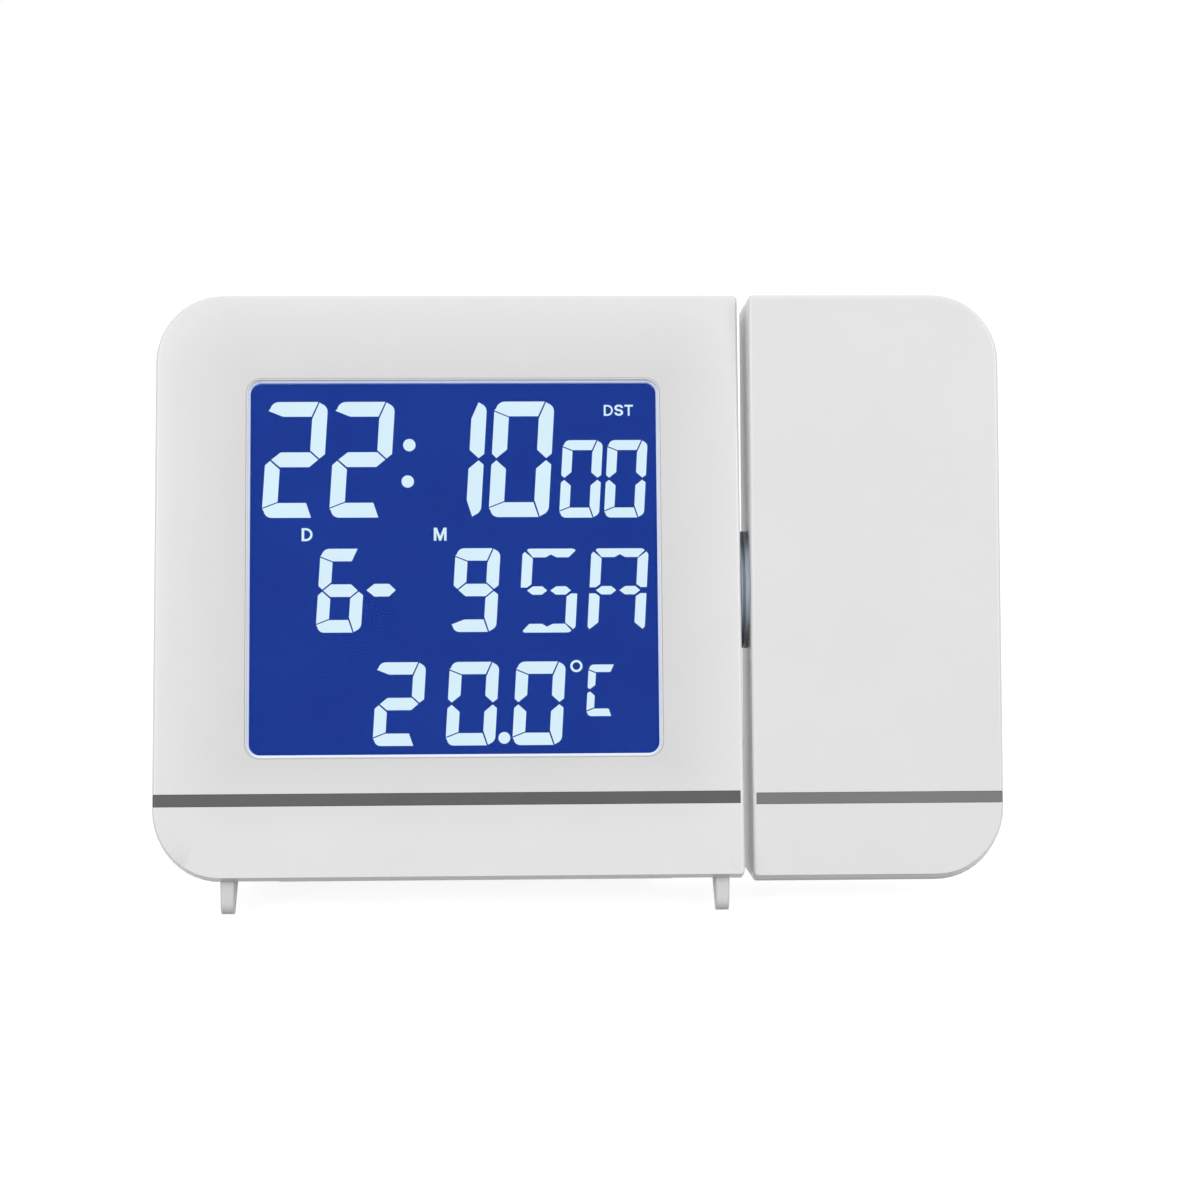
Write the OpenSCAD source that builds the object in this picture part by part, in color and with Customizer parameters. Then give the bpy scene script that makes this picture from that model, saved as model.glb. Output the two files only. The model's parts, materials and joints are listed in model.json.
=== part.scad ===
// Projection alarm clock: a leaning display body with a swivelling projector on its right side.
// Millimetres. The parts are drawn upright in the body's frame: X to the right from the body's left
// edge, Y to the rear from its front face, Z up from its underside. placed() then leans the body back
// on its feet, with the origin under the middle of the heel pad.

/* [Body] */
// Width of the display body
body_w = 100.6; // [99:0.1:103]
// Height of the display body
body_h = 100; // [99:0.1:103]
// Depth of the front housing
shell_d = 17.5; // [17:0.1:18]
// Depth of the body above the battery hump
body_d = 24; // [23.8:0.1:25]
// Depth over the battery hump
hump_d = 35; // [34.8:0.1:36]
// Wall thickness of the housings
wall = 2.2; // [2:0.1:2.3]
// Radius of the outer corners
corner_r = 11.6; // [10:0.1:13]
// Radius of the corners beside the gap
gap_corner_r = 0.8; // [0.6:0.1:1.6]
// Softening of the front edges
edge_r = 0.6; // [0.5:0.1:1.2]
// Rounding of the rear edges
back_r = 5; // [4:0.1:5.2]
// Angle that the body leans back on its feet
lean = 14; // [12:0.5:15]

/* [Display] */
// Left edge of the window
win_x = 15.8; // [15:0.1:17]
// Lower edge of the window
win_z = 20; // [19.5:0.1:21]
// Width of the window
win_w = 70.9; // [69:0.1:71.5]
// Height of the window
win_h = 65.2; // [64:0.1:66]
// Radius of the window's corners
win_r = 2.3; // [1.5:0.1:3]
// Slant of the characters
slant = 0.06; // [0:0.01:0.08]
// Gap between neighbouring segments
seg_gap = 0.22; // [0.1:0.02:0.3]

/* [Trim stripe] */
// Lower edge of the body's stripe
stripe_z = 11.7; // [11.5:0.1:12.5]
// Height of the body's stripe
stripe_h = 2.15; // [1.8:0.05:2.4]
// Lower edge of the projector's stripe
proj_stripe_z = 12; // [11.5:0.1:12.5]
// Height of the projector's stripe
proj_stripe_h = 2; // [1.8:0.05:2.4]
// Depth of the stripe's groove
stripe_t = 0.7; // [0.5:0.1:0.9]

/* [Projector] */
// Gap between the body and the projector
gap = 1.7; // [1.6:0.1:2]
// Width of the projector
proj_w = 43.3; // [43:0.1:44.5]
// Height of the projector
proj_h = 99.9; // [99:0.1:100.2]
// Depth of the projector
proj_d = 22; // [21.8:0.1:22.4]
// Height of the swivel axis above the body's underside
pivot_z = 49.6; // [49.2:0.1:50.2]
// Angle of the projector at rest, top forward
swivel_rest = 3.8; // [0:0.1:6]

/* [Feet] */
// Thickness of a foot
foot_t = 2.6; // [2.5:0.1:2.8]
// Distance of the toe's centre below the underside
toe_z = 4.4; // [4:0.1:4.8]
// Radius of the toe
toe_r = 2; // [1.8:0.1:2]
// Thickness of the heel pad
pad_t = 0.8; // [0.6:0.1:1]

/* [Hidden] */
$fn = 64;
tiny = 0.01;

// Colours
white_abs = [0.93, 0.93, 0.93];
trim_grey = [0.4, 0.4, 0.41];
board_green = [0.08, 0.32, 0.18];
steel = [0.75, 0.76, 0.78];

// Heel: the underside is bevelled to the table's plane, so the clock stands on a pad and two toes
toe_y = 2.5 + toe_r;
table_drop = toe_y * sin(lean) + toe_z * cos(lean) + toe_r;
heel_y = (table_drop - pad_t) / sin(lean);
pad_start = 2.5;
pad_w = 60;
pad_l = 3.8;

// Swivel axis and projector
pivot_y = 10.8;
axis_y = 11.3;
proj_x = body_w + gap;
proj_y = axis_y - proj_d / 2;
proj_z = 0.2;
hub_r = 10.3;
spindle_r = 4.6;
spindle_bore_r = 2.8;
running = 0.06;
lens_z = 78;

// Trim stripes, from the underside of each housing
body_stripe = [stripe_z, stripe_z + stripe_h];
proj_stripe = [proj_stripe_z, proj_stripe_z + proj_stripe_h];

// Display stack, as distances behind the front face
window_y = [0.9, 2.1];
segment_y = [2.12, 2.22];
front_glass_y = [2.25, 3.35];
rear_glass_y = [3.35, 4.45];
diffuser_y = [4.5, 4.7];
guide_y = [4.75, 7.75];
reflector_y = [7.8, 8];
holder_y = [wall, 9.4];
board_y = [10, 11.6];
key_board_y = [15, 16.2];
glass_x = [win_x - 3, win_x + win_w + 2.8];
glass_z = [win_z - 3, win_z + win_h + 3];
ledge = 3.5;

// Fasteners and keys, as [x, z]
cover_bosses = [[8.5, 9], [body_w - 8.6, 9], [7.6, body_h - 8.2], [body_w - 5.9, body_h - 6.8]];
board_bosses = [[7.2, 24], [7.2, 82], [body_w - 6.1, 24], [body_w - 6.1, 82]];
proj_bosses = [[5, 6.8], [5, proj_h - 6.8], [proj_w - 9.2, 9.2], [proj_w - 9.2, proj_h - 9.2]];
boss_r = 2.8;
key_z = 68;
key_x = [18, 31, 44, 57, 70];
key_size = [8, 5];
knob_x = 83;
jack = [91, 31];
left_foot_x = 12.6;
right_foot_x = body_w - 3.7;
foot_pin_z = 1.7;
foot_depth = [2.5, 11];

// Battery bay
cell_r = 7.15;
cell_l = 49.2;
cell_y = 24.6;
cell_z = [12.2, 27.1];
bay_x = [23.5, 77.1];
bay_z = [4.7, 34.6];
bay_floor_y = 15.8;
bay_wall = 1.4;
hump_x = [14, body_w - 14];
door_z = [3.9, 36];
door_y = [hump_d - 1.5, hump_d - 0.05];

// ---- frames and simple solids ----

module placed()
    translate([0, -(pad_start + pad_l / 2), pad_t]) rotate([-lean, 0, 0])
        translate([-body_w / 2, -heel_y, 0]) children();

// The projector's own frame: X and Z from its lower left corner, Y with the swivel axis at axis_y
module swivelled()
    placed() translate([0, pivot_y, pivot_z]) rotate([swivel_rest, 0, 0])
        translate([proj_x, -axis_y, proj_z - pivot_z]) children();

module block(x, y, z) translate([x[0], y[0], z[0]]) cube([x[1] - x[0], y[1] - y[0], z[1] - z[0]]);
module rod_x(x, y, z, r) translate([x[0], y, z]) rotate([0, 90, 0]) cylinder(h = x[1] - x[0], r = r);
module rod_y(x, y, z, r) translate([x, y[1], z]) rotate([90, 0, 0]) cylinder(h = y[1] - y[0], r = r);
module rod_z(x, y, z, r) translate([x, y, z[0]]) cylinder(h = z[1] - z[0], r = r);

// Extrudes an outline drawn in X and Z from y[0] to y[1]
module slab(y) translate([0, y[1], 0]) rotate([90, 0, 0]) linear_extrude(y[1] - y[0]) children();

// A rectangle whose left corners have radius rl and right corners rr
module panel(w, h, rl, rr) {
    translate([rl, 0]) square([w - rl - rr, h]);
    translate([0, rl]) square([rl + tiny, h - 2 * rl]);
    translate([w - rr - tiny, rr]) square([rr + tiny, h - 2 * rr]);
    for (z = [rl, h - rl]) translate([rl, z]) circle(rl);
    for (z = [rr, h - rr]) translate([w - rr, z]) circle(rr);
}

module inset_panel(w, h, rl, rr, i)
    translate([i, i]) panel(w - 2 * i, h - 2 * i, max(rl - i, 0.3), max(rr - i, 0.3));

// A block with a softened front edge and a rounded rear edge
module soft_block(w, h, rl, rr, y, front_r, rear_r)
    hull() {
        slab([y[0] + front_r, y[1] - rear_r]) panel(w, h, rl, rr);
        if (front_r > 0) for (a = [0, 30, 60])
            slab([y[0] + front_r * (1 - cos(a)), y[0] + front_r * (1 - cos(a)) + tiny])
                inset_panel(w, h, rl, rr, front_r * (1 - sin(a)));
        if (rear_r > 0) for (a = [15 : 15 : 90])
            slab([y[1] - rear_r * (1 - sin(a)) - tiny, y[1] - rear_r * (1 - sin(a))])
                inset_panel(w, h, rl, rr, rear_r * (1 - cos(a)));
    }

// A plate with rounded corners, lying in X and Z
module rounded_slab(x, y, z, r)
    slab(y) translate([x[0], z[0]]) panel(x[1] - x[0], z[1] - z[0], r, r);

// A screw driven from the rear: a pan head with a cross recess, and a shank
module screw_y(x, head_y, z, head_r, shank_r, shank_l)
    difference() {
        union() {
            rod_y(x, head_y, z, head_r);
            rod_y(x, [head_y[0] - shank_l, head_y[0] + tiny], z, shank_r);
        }
        for (s = [[head_r * 0.62, 0.3], [0.3, head_r * 0.62]])
            block([x - s[0], x + s[0]], [head_y[1] - 0.7, head_y[1] + 1], [z - s[1], z + s[1]]);
    }

// ---- display characters ----

function arc(c, r, a0, a1, n = 5) =
    [for (i = [0 : n]) c + r * [cos(a0 + (a1 - a0) * i / n), sin(a0 + (a1 - a0) * i / n)]];
function flip(points, h) = [for (p = points) [p[0], h - p[1]]];

// Segments of a digit w wide, h high, with stroke s. The upper bar owns the upper left corner and
// the right uprights own the right corners. The lower half mirrors the upper one.
function top_bar(w, h, s, g) = concat(
    [[0, h - 0.6 * s]], arc([0.67 * s, h - 0.57 * s], 0.57 * s, 170, 90),
    [[w - 0.66 * s, h], [w - 1.06 * s, h - s], [s, h - s]]);
function right_upright(w, h, s, g) = concat(
    [[w - 0.66 * s + g, h - 0.04 * s]], arc([w - 0.58 * s, h - 0.7 * s], 0.58 * s, 70, 0),
    [[w, h / 2 + 0.37 * s], [w - 0.36 * s, h / 2 + 0.9 * g], [w - s, h / 2 + 0.6 * s + g / 2],
     [w - s, h - s - 1.9 * g]]);
function left_upright(w, h, s, g) = [
    [0, h - 0.6 * s - g], [s, h - s - g], [s, h / 2 + 0.62 * s + g / 2], [0.32 * s, h / 2 + 0.9 * g],
    [0, h / 2 + 0.38 * s]];
function middle_bar(w, h, s, g) = [
    [0.35 * s + g / 2, h / 2], [s, h / 2 + 0.5 * s], [w - s, h / 2 + 0.5 * s],
    [w - 0.39 * s - g / 2, h / 2], [w - s, h / 2 - 0.5 * s], [s, h / 2 - 0.5 * s]];

// lit names the segments that show: a to g, clockwise from the top, with g in the middle
module seven_segment(at, w, h, s, lit, g = seg_gap)
    translate(at) for (c = lit) polygon([for (p =
        c == "a" ? top_bar(w, h, s, g) :
        c == "b" ? right_upright(w, h, s, g) :
        c == "c" ? flip(right_upright(w, h, s, g), h) :
        c == "d" ? flip(top_bar(w, h, s, g), h) :
        c == "e" ? flip(left_upright(w, h, s, g), h) :
        c == "f" ? left_upright(w, h, s, g) :
        middle_bar(w, h, s, g)) [p[0] + slant * p[1], p[1]]]);

// Letter segments: mitred bars with a notch in the middle, and a middle bar in two halves
function letter_bar(w, h, s, t, g) = [
    [0.41 * s, h - 0.2 * t], [0.55 * s, h], [w - 0.65 * s, h], [w - 0.36 * s, h - 0.2 * t],
    [w - s, h - t], [w / 2 + 0.65 * t, h - t], [w / 2, h - 0.66 * t], [w / 2 - 0.6 * t, h - t],
    [s, h - t]];
function letter_upright(x0, x1, h, t, g) = let (d = x1 > x0 ? 1 : -1) [
    [x0, h - 0.67 * t], [x0 + 0.24 * d * t, h - 0.24 * t - 0.85 * g], [x1, h - t - g],
    [x1, h / 2 + 0.72 * t], [x1 - 0.49 * d * t, h / 2 + 0.36 * t], [x0, h / 2 + 0.36 * t]];
function half_bar(x0, x1, h, t) = [
    [x0, h / 2], [x0 + 0.65 * t, h / 2 + 0.48 * t], [x1 - 0.58 * t, h / 2 + 0.48 * t],
    [x1, h / 2], [x1 - 0.58 * t, h / 2 - 0.48 * t], [x0 + 0.65 * t, h / 2 - 0.48 * t]];

// lit: a top, b and c right, d bottom, e and f left, m both middle halves
module letter_segment(at, w, h, s, t, lit, g = seg_gap)
    translate(at) for (c = lit) for (outline =
        c == "a" ? [letter_bar(w, h, s, t, g)] :
        c == "b" ? [letter_upright(w, w - s, h, t, g)] :
        c == "c" ? [flip(letter_upright(w, w - s, h, t, g), h)] :
        c == "d" ? [flip(letter_bar(w, h, s, t, g), h)] :
        c == "e" ? [flip(letter_upright(0, s, h, t, g), h)] :
        c == "f" ? [letter_upright(0, s, h, t, g)] :
        [half_bar(0.62 * s, w / 2 - 0.32, h, t), half_bar(w / 2 + 0.24, w - 0.62 * s, h, t)])
        polygon([for (p = outline) [p[0] + slant * p[1], p[1]]]);

// Small upright capitals, h high with stroke s
module capital_d(at, h, s) translate(at) {
    square([s, h]);
    difference() {
        union() { square([0.4 * h, h]); translate([0.33 * h, h / 2]) circle(h / 2); }
        translate([s, 0.8 * s]) square([0.4 * h - s, h - 1.6 * s]);
        translate([0.33 * h, h / 2]) circle(h / 2 - 0.85 * s);
        translate([-h, 0]) square([h, h]);
    }
}
module capital_m(at, h, s, w) translate(at) {
    for (x = [0, w - s]) translate([x, 0]) square([s, h]);
    polygon([[0.3 * s, h], [1.2 * s, h], [w / 2, 0.34 * h], [w / 2, 0], [w / 2 - 0.4 * s, 0]]);
    polygon([[w - 0.3 * s, h], [w - 1.2 * s, h], [w / 2, 0.34 * h], [w / 2, 0], [w / 2 + 0.4 * s, 0]]);
}
module capital_s(at, h, s, w) {
    r = (h + s) / 4;
    translate(at) scale([w / (2 * r), 1]) for (up = [0, 1]) translate([r, up ? h - r : r]) difference() {
        circle(r);
        circle(r - s);
        translate(up ? [0, -r] : [-r, 0]) square([r, r]);
    }
}
module capital_t(at, h, s, w) translate(at) {
    translate([0, h - s]) square([w, s]);
    translate([(w - s) / 2, 0]) square([s, h]);
}
module dash(x, z, w, h)
    polygon([[x, z], [x + 0.27 * w, z + h / 2], [x + 0.77 * w, z + h / 2], [x + w, z],
             [x + 0.77 * w, z - h / 2], [x + 0.27 * w, z - h / 2]]);

module display_characters() {
    time_z = 61.43;
    date_z = 41.5;
    degree_z = 21.97;
    two = "abged";
    zero = "abcdef";
    for (x = [18.1, 29.68]) seven_segment([x, time_z], 10.2, 20.24, 2.57, two);
    for (c = [[43.54, 74.07], [43.26, 67.69]]) translate(c) circle(1.07);
    seven_segment([45.7, time_z], 10.13, 20.24, 2.57, "bc");
    seven_segment([57.17, time_z], 10.36, 20.24, 2.57, zero);
    for (x = [69.38, 77.16]) seven_segment([x, time_z - 0.14], 6.91, 13.56, 1.73, zero);
    capital_d([77.3, 79.15], 1.9, 0.34);
    capital_s([79.15, 79.15], 1.95, 0.31, 1.52);
    capital_t([80.9, 79.15], 1.92, 0.32, 1.47);
    capital_d([25, 57.36], 2.25, 0.44);
    capital_m([47.74, 57.36], 2.25, 0.44, 2.2);
    seven_segment([27.43, date_z], 7.74, 14.5, 2.16, "acdefg");
    dash(36.15, 48.8, 5.02, 2.18);
    seven_segment([50.66, date_z], 7.73, 14.5, 2.14, "abcdfg");
    letter_segment([62.22, date_z - 0.17], 9.8, 14.55, 1.81, 1.5, "afmcd");
    letter_segment([74.1, date_z - 0.17], 9.88, 14.55, 1.81, 1.5, "abcefm");
    seven_segment([37.18, degree_z], 8.35, 14.35, 2.11, two);
    for (x = [49.63, 61.06]) seven_segment([x, degree_z], 8.47, 14.35, 2.11, zero);
    translate([59.73, 23.22]) circle(1.01);
    translate([72.18, 35.5]) difference() { circle(1.05); circle(0.66); }
    seven_segment([73.79, 26.86], 5.15, 8.88, 1.29, "adef");
}

// ---- front housing ----

module window_outline(grow) translate([win_x - grow, win_z - grow])
    panel(win_w + 2 * grow, win_h + 2 * grow, win_r + grow, win_r + grow);

// The stripe runs across the front and round the outer side, between the heights in z
module stripe_space(w, outer_x, lip_left, lip_right, y, z) {
    block([lip_left, w - lip_right], [y - 1, y + stripe_t], z);
    block([outer_x - stripe_t, outer_x + stripe_t], [y - 1, y + shell_d + 1], z);
}

module foot_pocket(x, side) {
    outer = x - side * (foot_t / 2 + 0.25);
    inner = x + side * (foot_pin_z + toe_z + toe_r + 0.6);
    block([min(outer, inner), max(outer, inner)], [wall, foot_depth[1] + 0.3], [-1, 3.4]);
}

module front_housing() color(white_abs) placed() difference() {
    union() {
        difference() {
            soft_block(body_w, body_h, corner_r, gap_corner_r, [0, shell_d], edge_r, 0);
            slab([wall, shell_d + 1]) inset_panel(body_w, body_h, corner_r, gap_corner_r, wall);
        }
        for (p = cover_bosses) rod_y(p[0], [wall - 0.5, shell_d - 0.1], p[1], boss_r);
        for (p = board_bosses) rod_y(p[0], [wall - 0.5, board_y[0]], p[1], 2.4);
        rod_x([body_w - 5, body_w - 1], pivot_y, pivot_z, 6.1);
        for (f = [[left_foot_x, 1], [right_foot_x, -1]])
            block([f[0] + (f[1] > 0 ? -2.9 : -10.3), f[0] + (f[1] > 0 ? 10.3 : 2.9)],
                  [wall - 0.5, foot_depth[1] + 1.5], [0.5, 4.6]);
    }
    slab([-1, wall + 1]) window_outline(0);
    slab([window_y[0], wall + 1]) window_outline(1.2);
    stripe_space(body_w, 0, -1, 0.6, 0, body_stripe);
    block([22, 78.6], [4.6, 14.2], [body_h - wall - 1, body_h + 1]);
    for (f = [[left_foot_x, 1], [right_foot_x, -1]]) {
        foot_pocket(f[0], f[1]);
        rod_y(f[0], [1.4, foot_depth[1] + 1.2], foot_pin_z, 0.8);
    }
    rod_x([body_w - 6, body_w + 1], pivot_y, pivot_z, spindle_r + running);
    for (p = cover_bosses) rod_y(p[0], [6, shell_d + 1], p[1], 1.15);
    for (p = board_bosses) rod_y(p[0], [4, board_y[0] + 1], p[1], 0.9);
}

module body_trim_strip() color(trim_grey) placed() intersection() {
    soft_block(body_w, body_h, corner_r, gap_corner_r, [0, shell_d], edge_r, 0);
    stripe_space(body_w, 0, -1, 0.6, 0, body_stripe);
}

// ---- display ----

module display_window() color([0.75, 0.85, 0.95, 0.4]) placed()
    slab(window_y) window_outline(1.15);

module lcd_segments() color([0.85, 0.94, 0.99]) placed()
    slab(segment_y) display_characters();

module lcd_front_glass() color([0.13, 0.23, 0.57]) placed() block(glass_x, front_glass_y, glass_z);

module lcd_rear_glass() color([0.2, 0.28, 0.5]) placed()
    block(glass_x, rear_glass_y, [glass_z[0], glass_z[1] - ledge]);

module diffuser_film() color([0.95, 0.95, 0.92]) placed()
    block(glass_x, diffuser_y, [glass_z[0], glass_z[1] - ledge]);

module light_guide() color([0.8, 0.9, 1, 0.6]) placed()
    block(glass_x, guide_y, [glass_z[0] + 1.4, glass_z[1] - ledge]);

module reflector_film() color([0.97, 0.97, 0.97]) placed()
    block(glass_x, reflector_y, [glass_z[0], glass_z[1] - ledge]);

module lcd_holder() color([0.9, 0.9, 0.88]) placed() difference() {
    block([glass_x[0] - 2, glass_x[1] + 2], holder_y, [glass_z[0] - 2, glass_z[1] + 2]);
    block([glass_x[0] - 0.1, glass_x[1] + 0.1], [wall - 1, reflector_y[1] + 0.05],
          [glass_z[0] - 0.1, glass_z[1] + 0.1]);
    block([glass_x[0] + 4, glass_x[1] - 4], [wall, holder_y[1] + 1], [glass_z[1] - 3.2, glass_z[1] - 0.4]);
}

module contact_strips() color([0.95, 0.6, 0.7]) placed()
    block([glass_x[0] + 4.2, glass_x[1] - 4.2], [front_glass_y[1], board_y[0]],
          [glass_z[1] - 3, glass_z[1] - 0.6]);

module backlight_leds() color([0.95, 0.95, 0.8]) placed()
    for (x = [30, 50, 70]) block([x, x + 3.5], [5, 7.4], [glass_z[0], glass_z[0] + 1.3]);

// ---- electronics ----

module main_board() color(board_green) placed() difference() {
    block([4.5, body_w - 3.6], board_y, [14, body_h - 12.3]);
    block([85.5, body_w], [board_y[0] - 1, board_y[1] + 1], [38, 62]);
    for (p = board_bosses) rod_y(p[0], [board_y[0] - 1, board_y[1] + 1], p[1], 1.1);
}

module chip_blob() color([0.05, 0.05, 0.05]) placed() translate([48, board_y[1], 52])
    rotate([-90, 0, 0]) intersection() {
        cylinder(h = 2, r = 7);
        translate([0, 0, -13]) sphere(r = 14.6, $fn = 200);
    }

module quartz_crystal() color(steel) placed() {
    rod_x([32, 38], board_y[1] + 1, 62, 1);
    for (z = [61.6, 62.4]) rod_x([38, 40.5], board_y[1] + 1, z, 0.2);
}

module receiver_board() color(board_green) placed() {
    block([58, 76], [board_y[1] + 0.05, board_y[1] + 0.9], [77.5, 87]);
    block([62, 66], [board_y[1] + 0.9, board_y[1] + 1.3], [80, 84]);
}

module ferrite_rod() color([0.15, 0.15, 0.16]) placed() rod_x([20, 74], 17.2, 84, 4);

module antenna_coil() color([0.72, 0.38, 0.15]) placed() difference() {
    rod_x([36, 58], 17.2, 84, 4.4);
    rod_x([35, 59], 17.2, 84, 4);
}

module buzzer() color([0.1, 0.1, 0.1]) placed() difference() {
    rod_y(16.5, [board_y[1], board_y[1] + 4], 50, 8.6);
    rod_y(16.5, [board_y[1] + 3, board_y[1] + 5], 50, 1.2);
}

module temperature_sensor() color([0.2, 0.3, 0.25]) placed() {
    translate([30, 11.85, 8.2]) sphere(r = 1.3, $fn = 32);
    for (x = [29.3, 30.7]) rod_z(x, 11.85, [8.2, 17], 0.25);
}

module dc_jack() color([0.08, 0.08, 0.08]) placed() difference() {
    union() {
        block([jack[0] - 3.5, jack[0] + 3.5], [board_y[1], 21.6], [jack[1] - 3.5, jack[1] + 3.5]);
        rod_y(jack[0], [21.6, 23.4], jack[1], 2.8);
    }
    rod_y(jack[0], [14.4, 24], jack[1], 1.85);
}

module dc_jack_pin() color(steel) placed() rod_y(jack[0], [14.4, 22.8], jack[1], 0.62);

module harness_plug() color([0.95, 0.95, 0.9]) placed()
    block([85.5, 89.5], [9.7, 14.6], [pivot_z - 4, pivot_z + 4]);

// Four wires that run along the swivel axis through the hollow hub
module projector_wires() color([0.75, 0.1, 0.1]) placed()
    for (a = [45 : 90 : 315])
        rod_x([89.5, proj_x + 7], pivot_y + 0.95 * cos(a), pivot_z + 0.95 * sin(a), 0.6);

module snooze_switch() color([0.12, 0.12, 0.12]) placed() {
    block([47, 53], [board_y[0], 13.4], [body_h - 12.3, body_h - 8.9]);
    rod_z(50, 11.8, [body_h - 8.9, body_h - 7], 1.6);
}

module snooze_bar() color(white_abs) placed() {
    translate([22.3, 4.9, body_h - 2.6]) linear_extrude(3.4) panel(56, 9, 1.2, 1.2);
    block([20.5, 80], [3.2, 15.4], [body_h - 3.7, body_h - 2.5]);
    block([48.4, 51.6], [10.2, 13.4], [body_h - 5.9, body_h - 3.6]);
}

// ---- keys and switch on the back ----

module key_board() color(board_green) placed() block([11, 94], key_board_y, [61, 75]);

module key_domes() color(steel) placed()
    for (x = key_x) rod_y(x, [key_board_y[1], key_board_y[1] + 0.8], key_z, 2.6);

module key(i) color([0.86, 0.86, 0.86]) placed() {
    x = key_x[i];
    rounded_slab([x - key_size[0] / 2, x + key_size[0] / 2], [20.7, body_d + 0.9],
                 [key_z - key_size[1] / 2, key_z + key_size[1] / 2], 2.45);
    rounded_slab([x - 5.2, x + 5.2], [20.5, 21.5], [key_z - 3.7, key_z + 3.7], 2);
    rod_y(x, [17.5, 20.6], key_z, 1.5);
}
module mode_key() key(0);
module alarm_key() key(1);
module up_key() key(2);
module down_key() key(3);
module wave_key() key(4);

module slide_switch() color(steel) placed() difference() {
    block([79.5, 90.5], [key_board_y[1], 19.6], [key_z - 2.6, key_z + 2.6]);
    block([80.5, 89.5], [18.2, 20], [key_z - 1.1, key_z + 1.1]);
}

module switch_knob() color([0.86, 0.86, 0.86]) placed() {
    block([knob_x - 2, knob_x + 2], [20.6, body_d + 1], [key_z - 1.6, key_z + 1.6]);
    block([knob_x - 3.8, knob_x + 3.6], [20.4, 21.5], [key_z - 3, key_z + 3]);
    block([knob_x - 1.2, knob_x + 1.2], [18.6, 20.5], [key_z - 0.9, key_z + 0.9]);
}

// ---- rear cover ----

// Side view of the battery hump, drawn in Y and Z, t inside its outer face
function hump_side(t) = [
    [shell_d + 1, t], [heel_y - t * tan(lean / 2), t], [hump_d - 1.6, t + (hump_d - 1.6 - heel_y) * tan(lean)],
    [hump_d - t, 3.4 + t], [hump_d - t, 36.5 - t], [hump_d - 3 - t / 2, 40 - t], [22, 47 - t],
    [shell_d + 1, 47 - t]];

module hump(t) intersection() {
    translate([hump_x[0] - 1, 0, 0]) rotate([90, 0, 90])
        linear_extrude(hump_x[1] - hump_x[0] + 2) polygon(hump_side(t));
    translate([0, 0, -1]) linear_extrude(50) polygon([
        [hump_x[0] + t, shell_d], [hump_x[0] + t, hump_d - 3 - t / 2], [hump_x[0] + 3 + t / 2, hump_d - t],
        [hump_x[1] - 3 - t / 2, hump_d - t], [hump_x[1] - t, hump_d - 3 - t / 2],
        [hump_x[1] - t, shell_d]]);
}

module rear_cover() color(white_abs) placed() difference() {
    union() {
        difference() {
            union() {
                soft_block(body_w, body_h, corner_r, gap_corner_r, [shell_d, body_d], 0, back_r);
                hump(0);
            }
            slab([shell_d - 1, body_d - wall]) inset_panel(body_w, body_h, corner_r, gap_corner_r, wall);
            hump(wall);
        }
        for (p = cover_bosses) rod_y(p[0], [shell_d, body_d - 1], p[1], 3.3);
        block([bay_x[0] - bay_wall, bay_x[1] + bay_wall], [bay_floor_y, hump_d - wall],
              [bay_z[0] - bay_wall, bay_z[1] + bay_wall]);
        for (x = [25, 66]) block([x, x + 3], [15, body_d - 1], [79, 89]);
        for (x = [12.9, 92.1]) rod_y(x, [key_board_y[1], body_d - 1], 73, 1.6);
    }
    block(bay_x, [bay_floor_y + bay_wall, hump_d + 1], bay_z);
    rounded_slab([bay_x[0] - 1.6, bay_x[1] + 1.6], [door_y[0] - 0.05, hump_d + 1],
                 [door_z[0] - 0.2, door_z[1] + 0.2], 1.4);
    for (x = key_x) rounded_slab([x - key_size[0] / 2 - 0.3, x + key_size[0] / 2 + 0.3],
        [20, body_d + 1], [key_z - key_size[1] / 2 - 0.3, key_z + key_size[1] / 2 + 0.3], 2.7);
    block([knob_x - 2.3, knob_x + 5.3], [20, body_d + 1], [key_z - 1.9, key_z + 1.9]);
    rod_y(jack[0], [20, body_d + 1], jack[1], 2.9);
    rod_x([19, 75], 17.2, 84, 4.1);
    for (p = cover_bosses) {
        rod_y(p[0], [shell_d - 1, body_d + 1], p[1], 1.4);
        rod_y(p[0], [body_d - 2, body_d + 1], p[1], 2.7);
    }
    for (a = [0 : 60 : 300]) rod_y(16.5 + 3.6 * cos(a), [20, body_d + 1], 50 + 3.6 * sin(a), 0.8);
    rod_y(16.5, [20, body_d + 1], 50, 0.8);
    for (i = [0 : 6]) rounded_slab([34 + 5 * i, 36 + 5 * i], [20, body_d + 1], [54, 60], 0.9);
}

module cover_screws() color(steel) placed()
    for (p = cover_bosses) screw_y(p[0], [body_d - 2, body_d - 0.4], p[1], 2.5, 1.15, 13);

module board_screws() color(steel) placed()
    for (p = board_bosses) screw_y(p[0], [board_y[1], board_y[1] + 1.3], p[1], 1.9, 0.9, 7);

module battery_door() color(white_abs) placed() difference() {
    union() {
        rounded_slab([bay_x[0] - 1.4, bay_x[1] + 1.4], door_y, door_z, 1.2);
        for (x = [34, 64]) block([x, x + 1.4], [32.1, door_y[0] + 0.1], [8, 31]);
    }
    for (i = [0 : 4]) block([44, 56.6], [hump_d - 0.45, hump_d + 1], [26.5 + 1.6 * i, 27.3 + 1.6 * i]);
}

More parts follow.
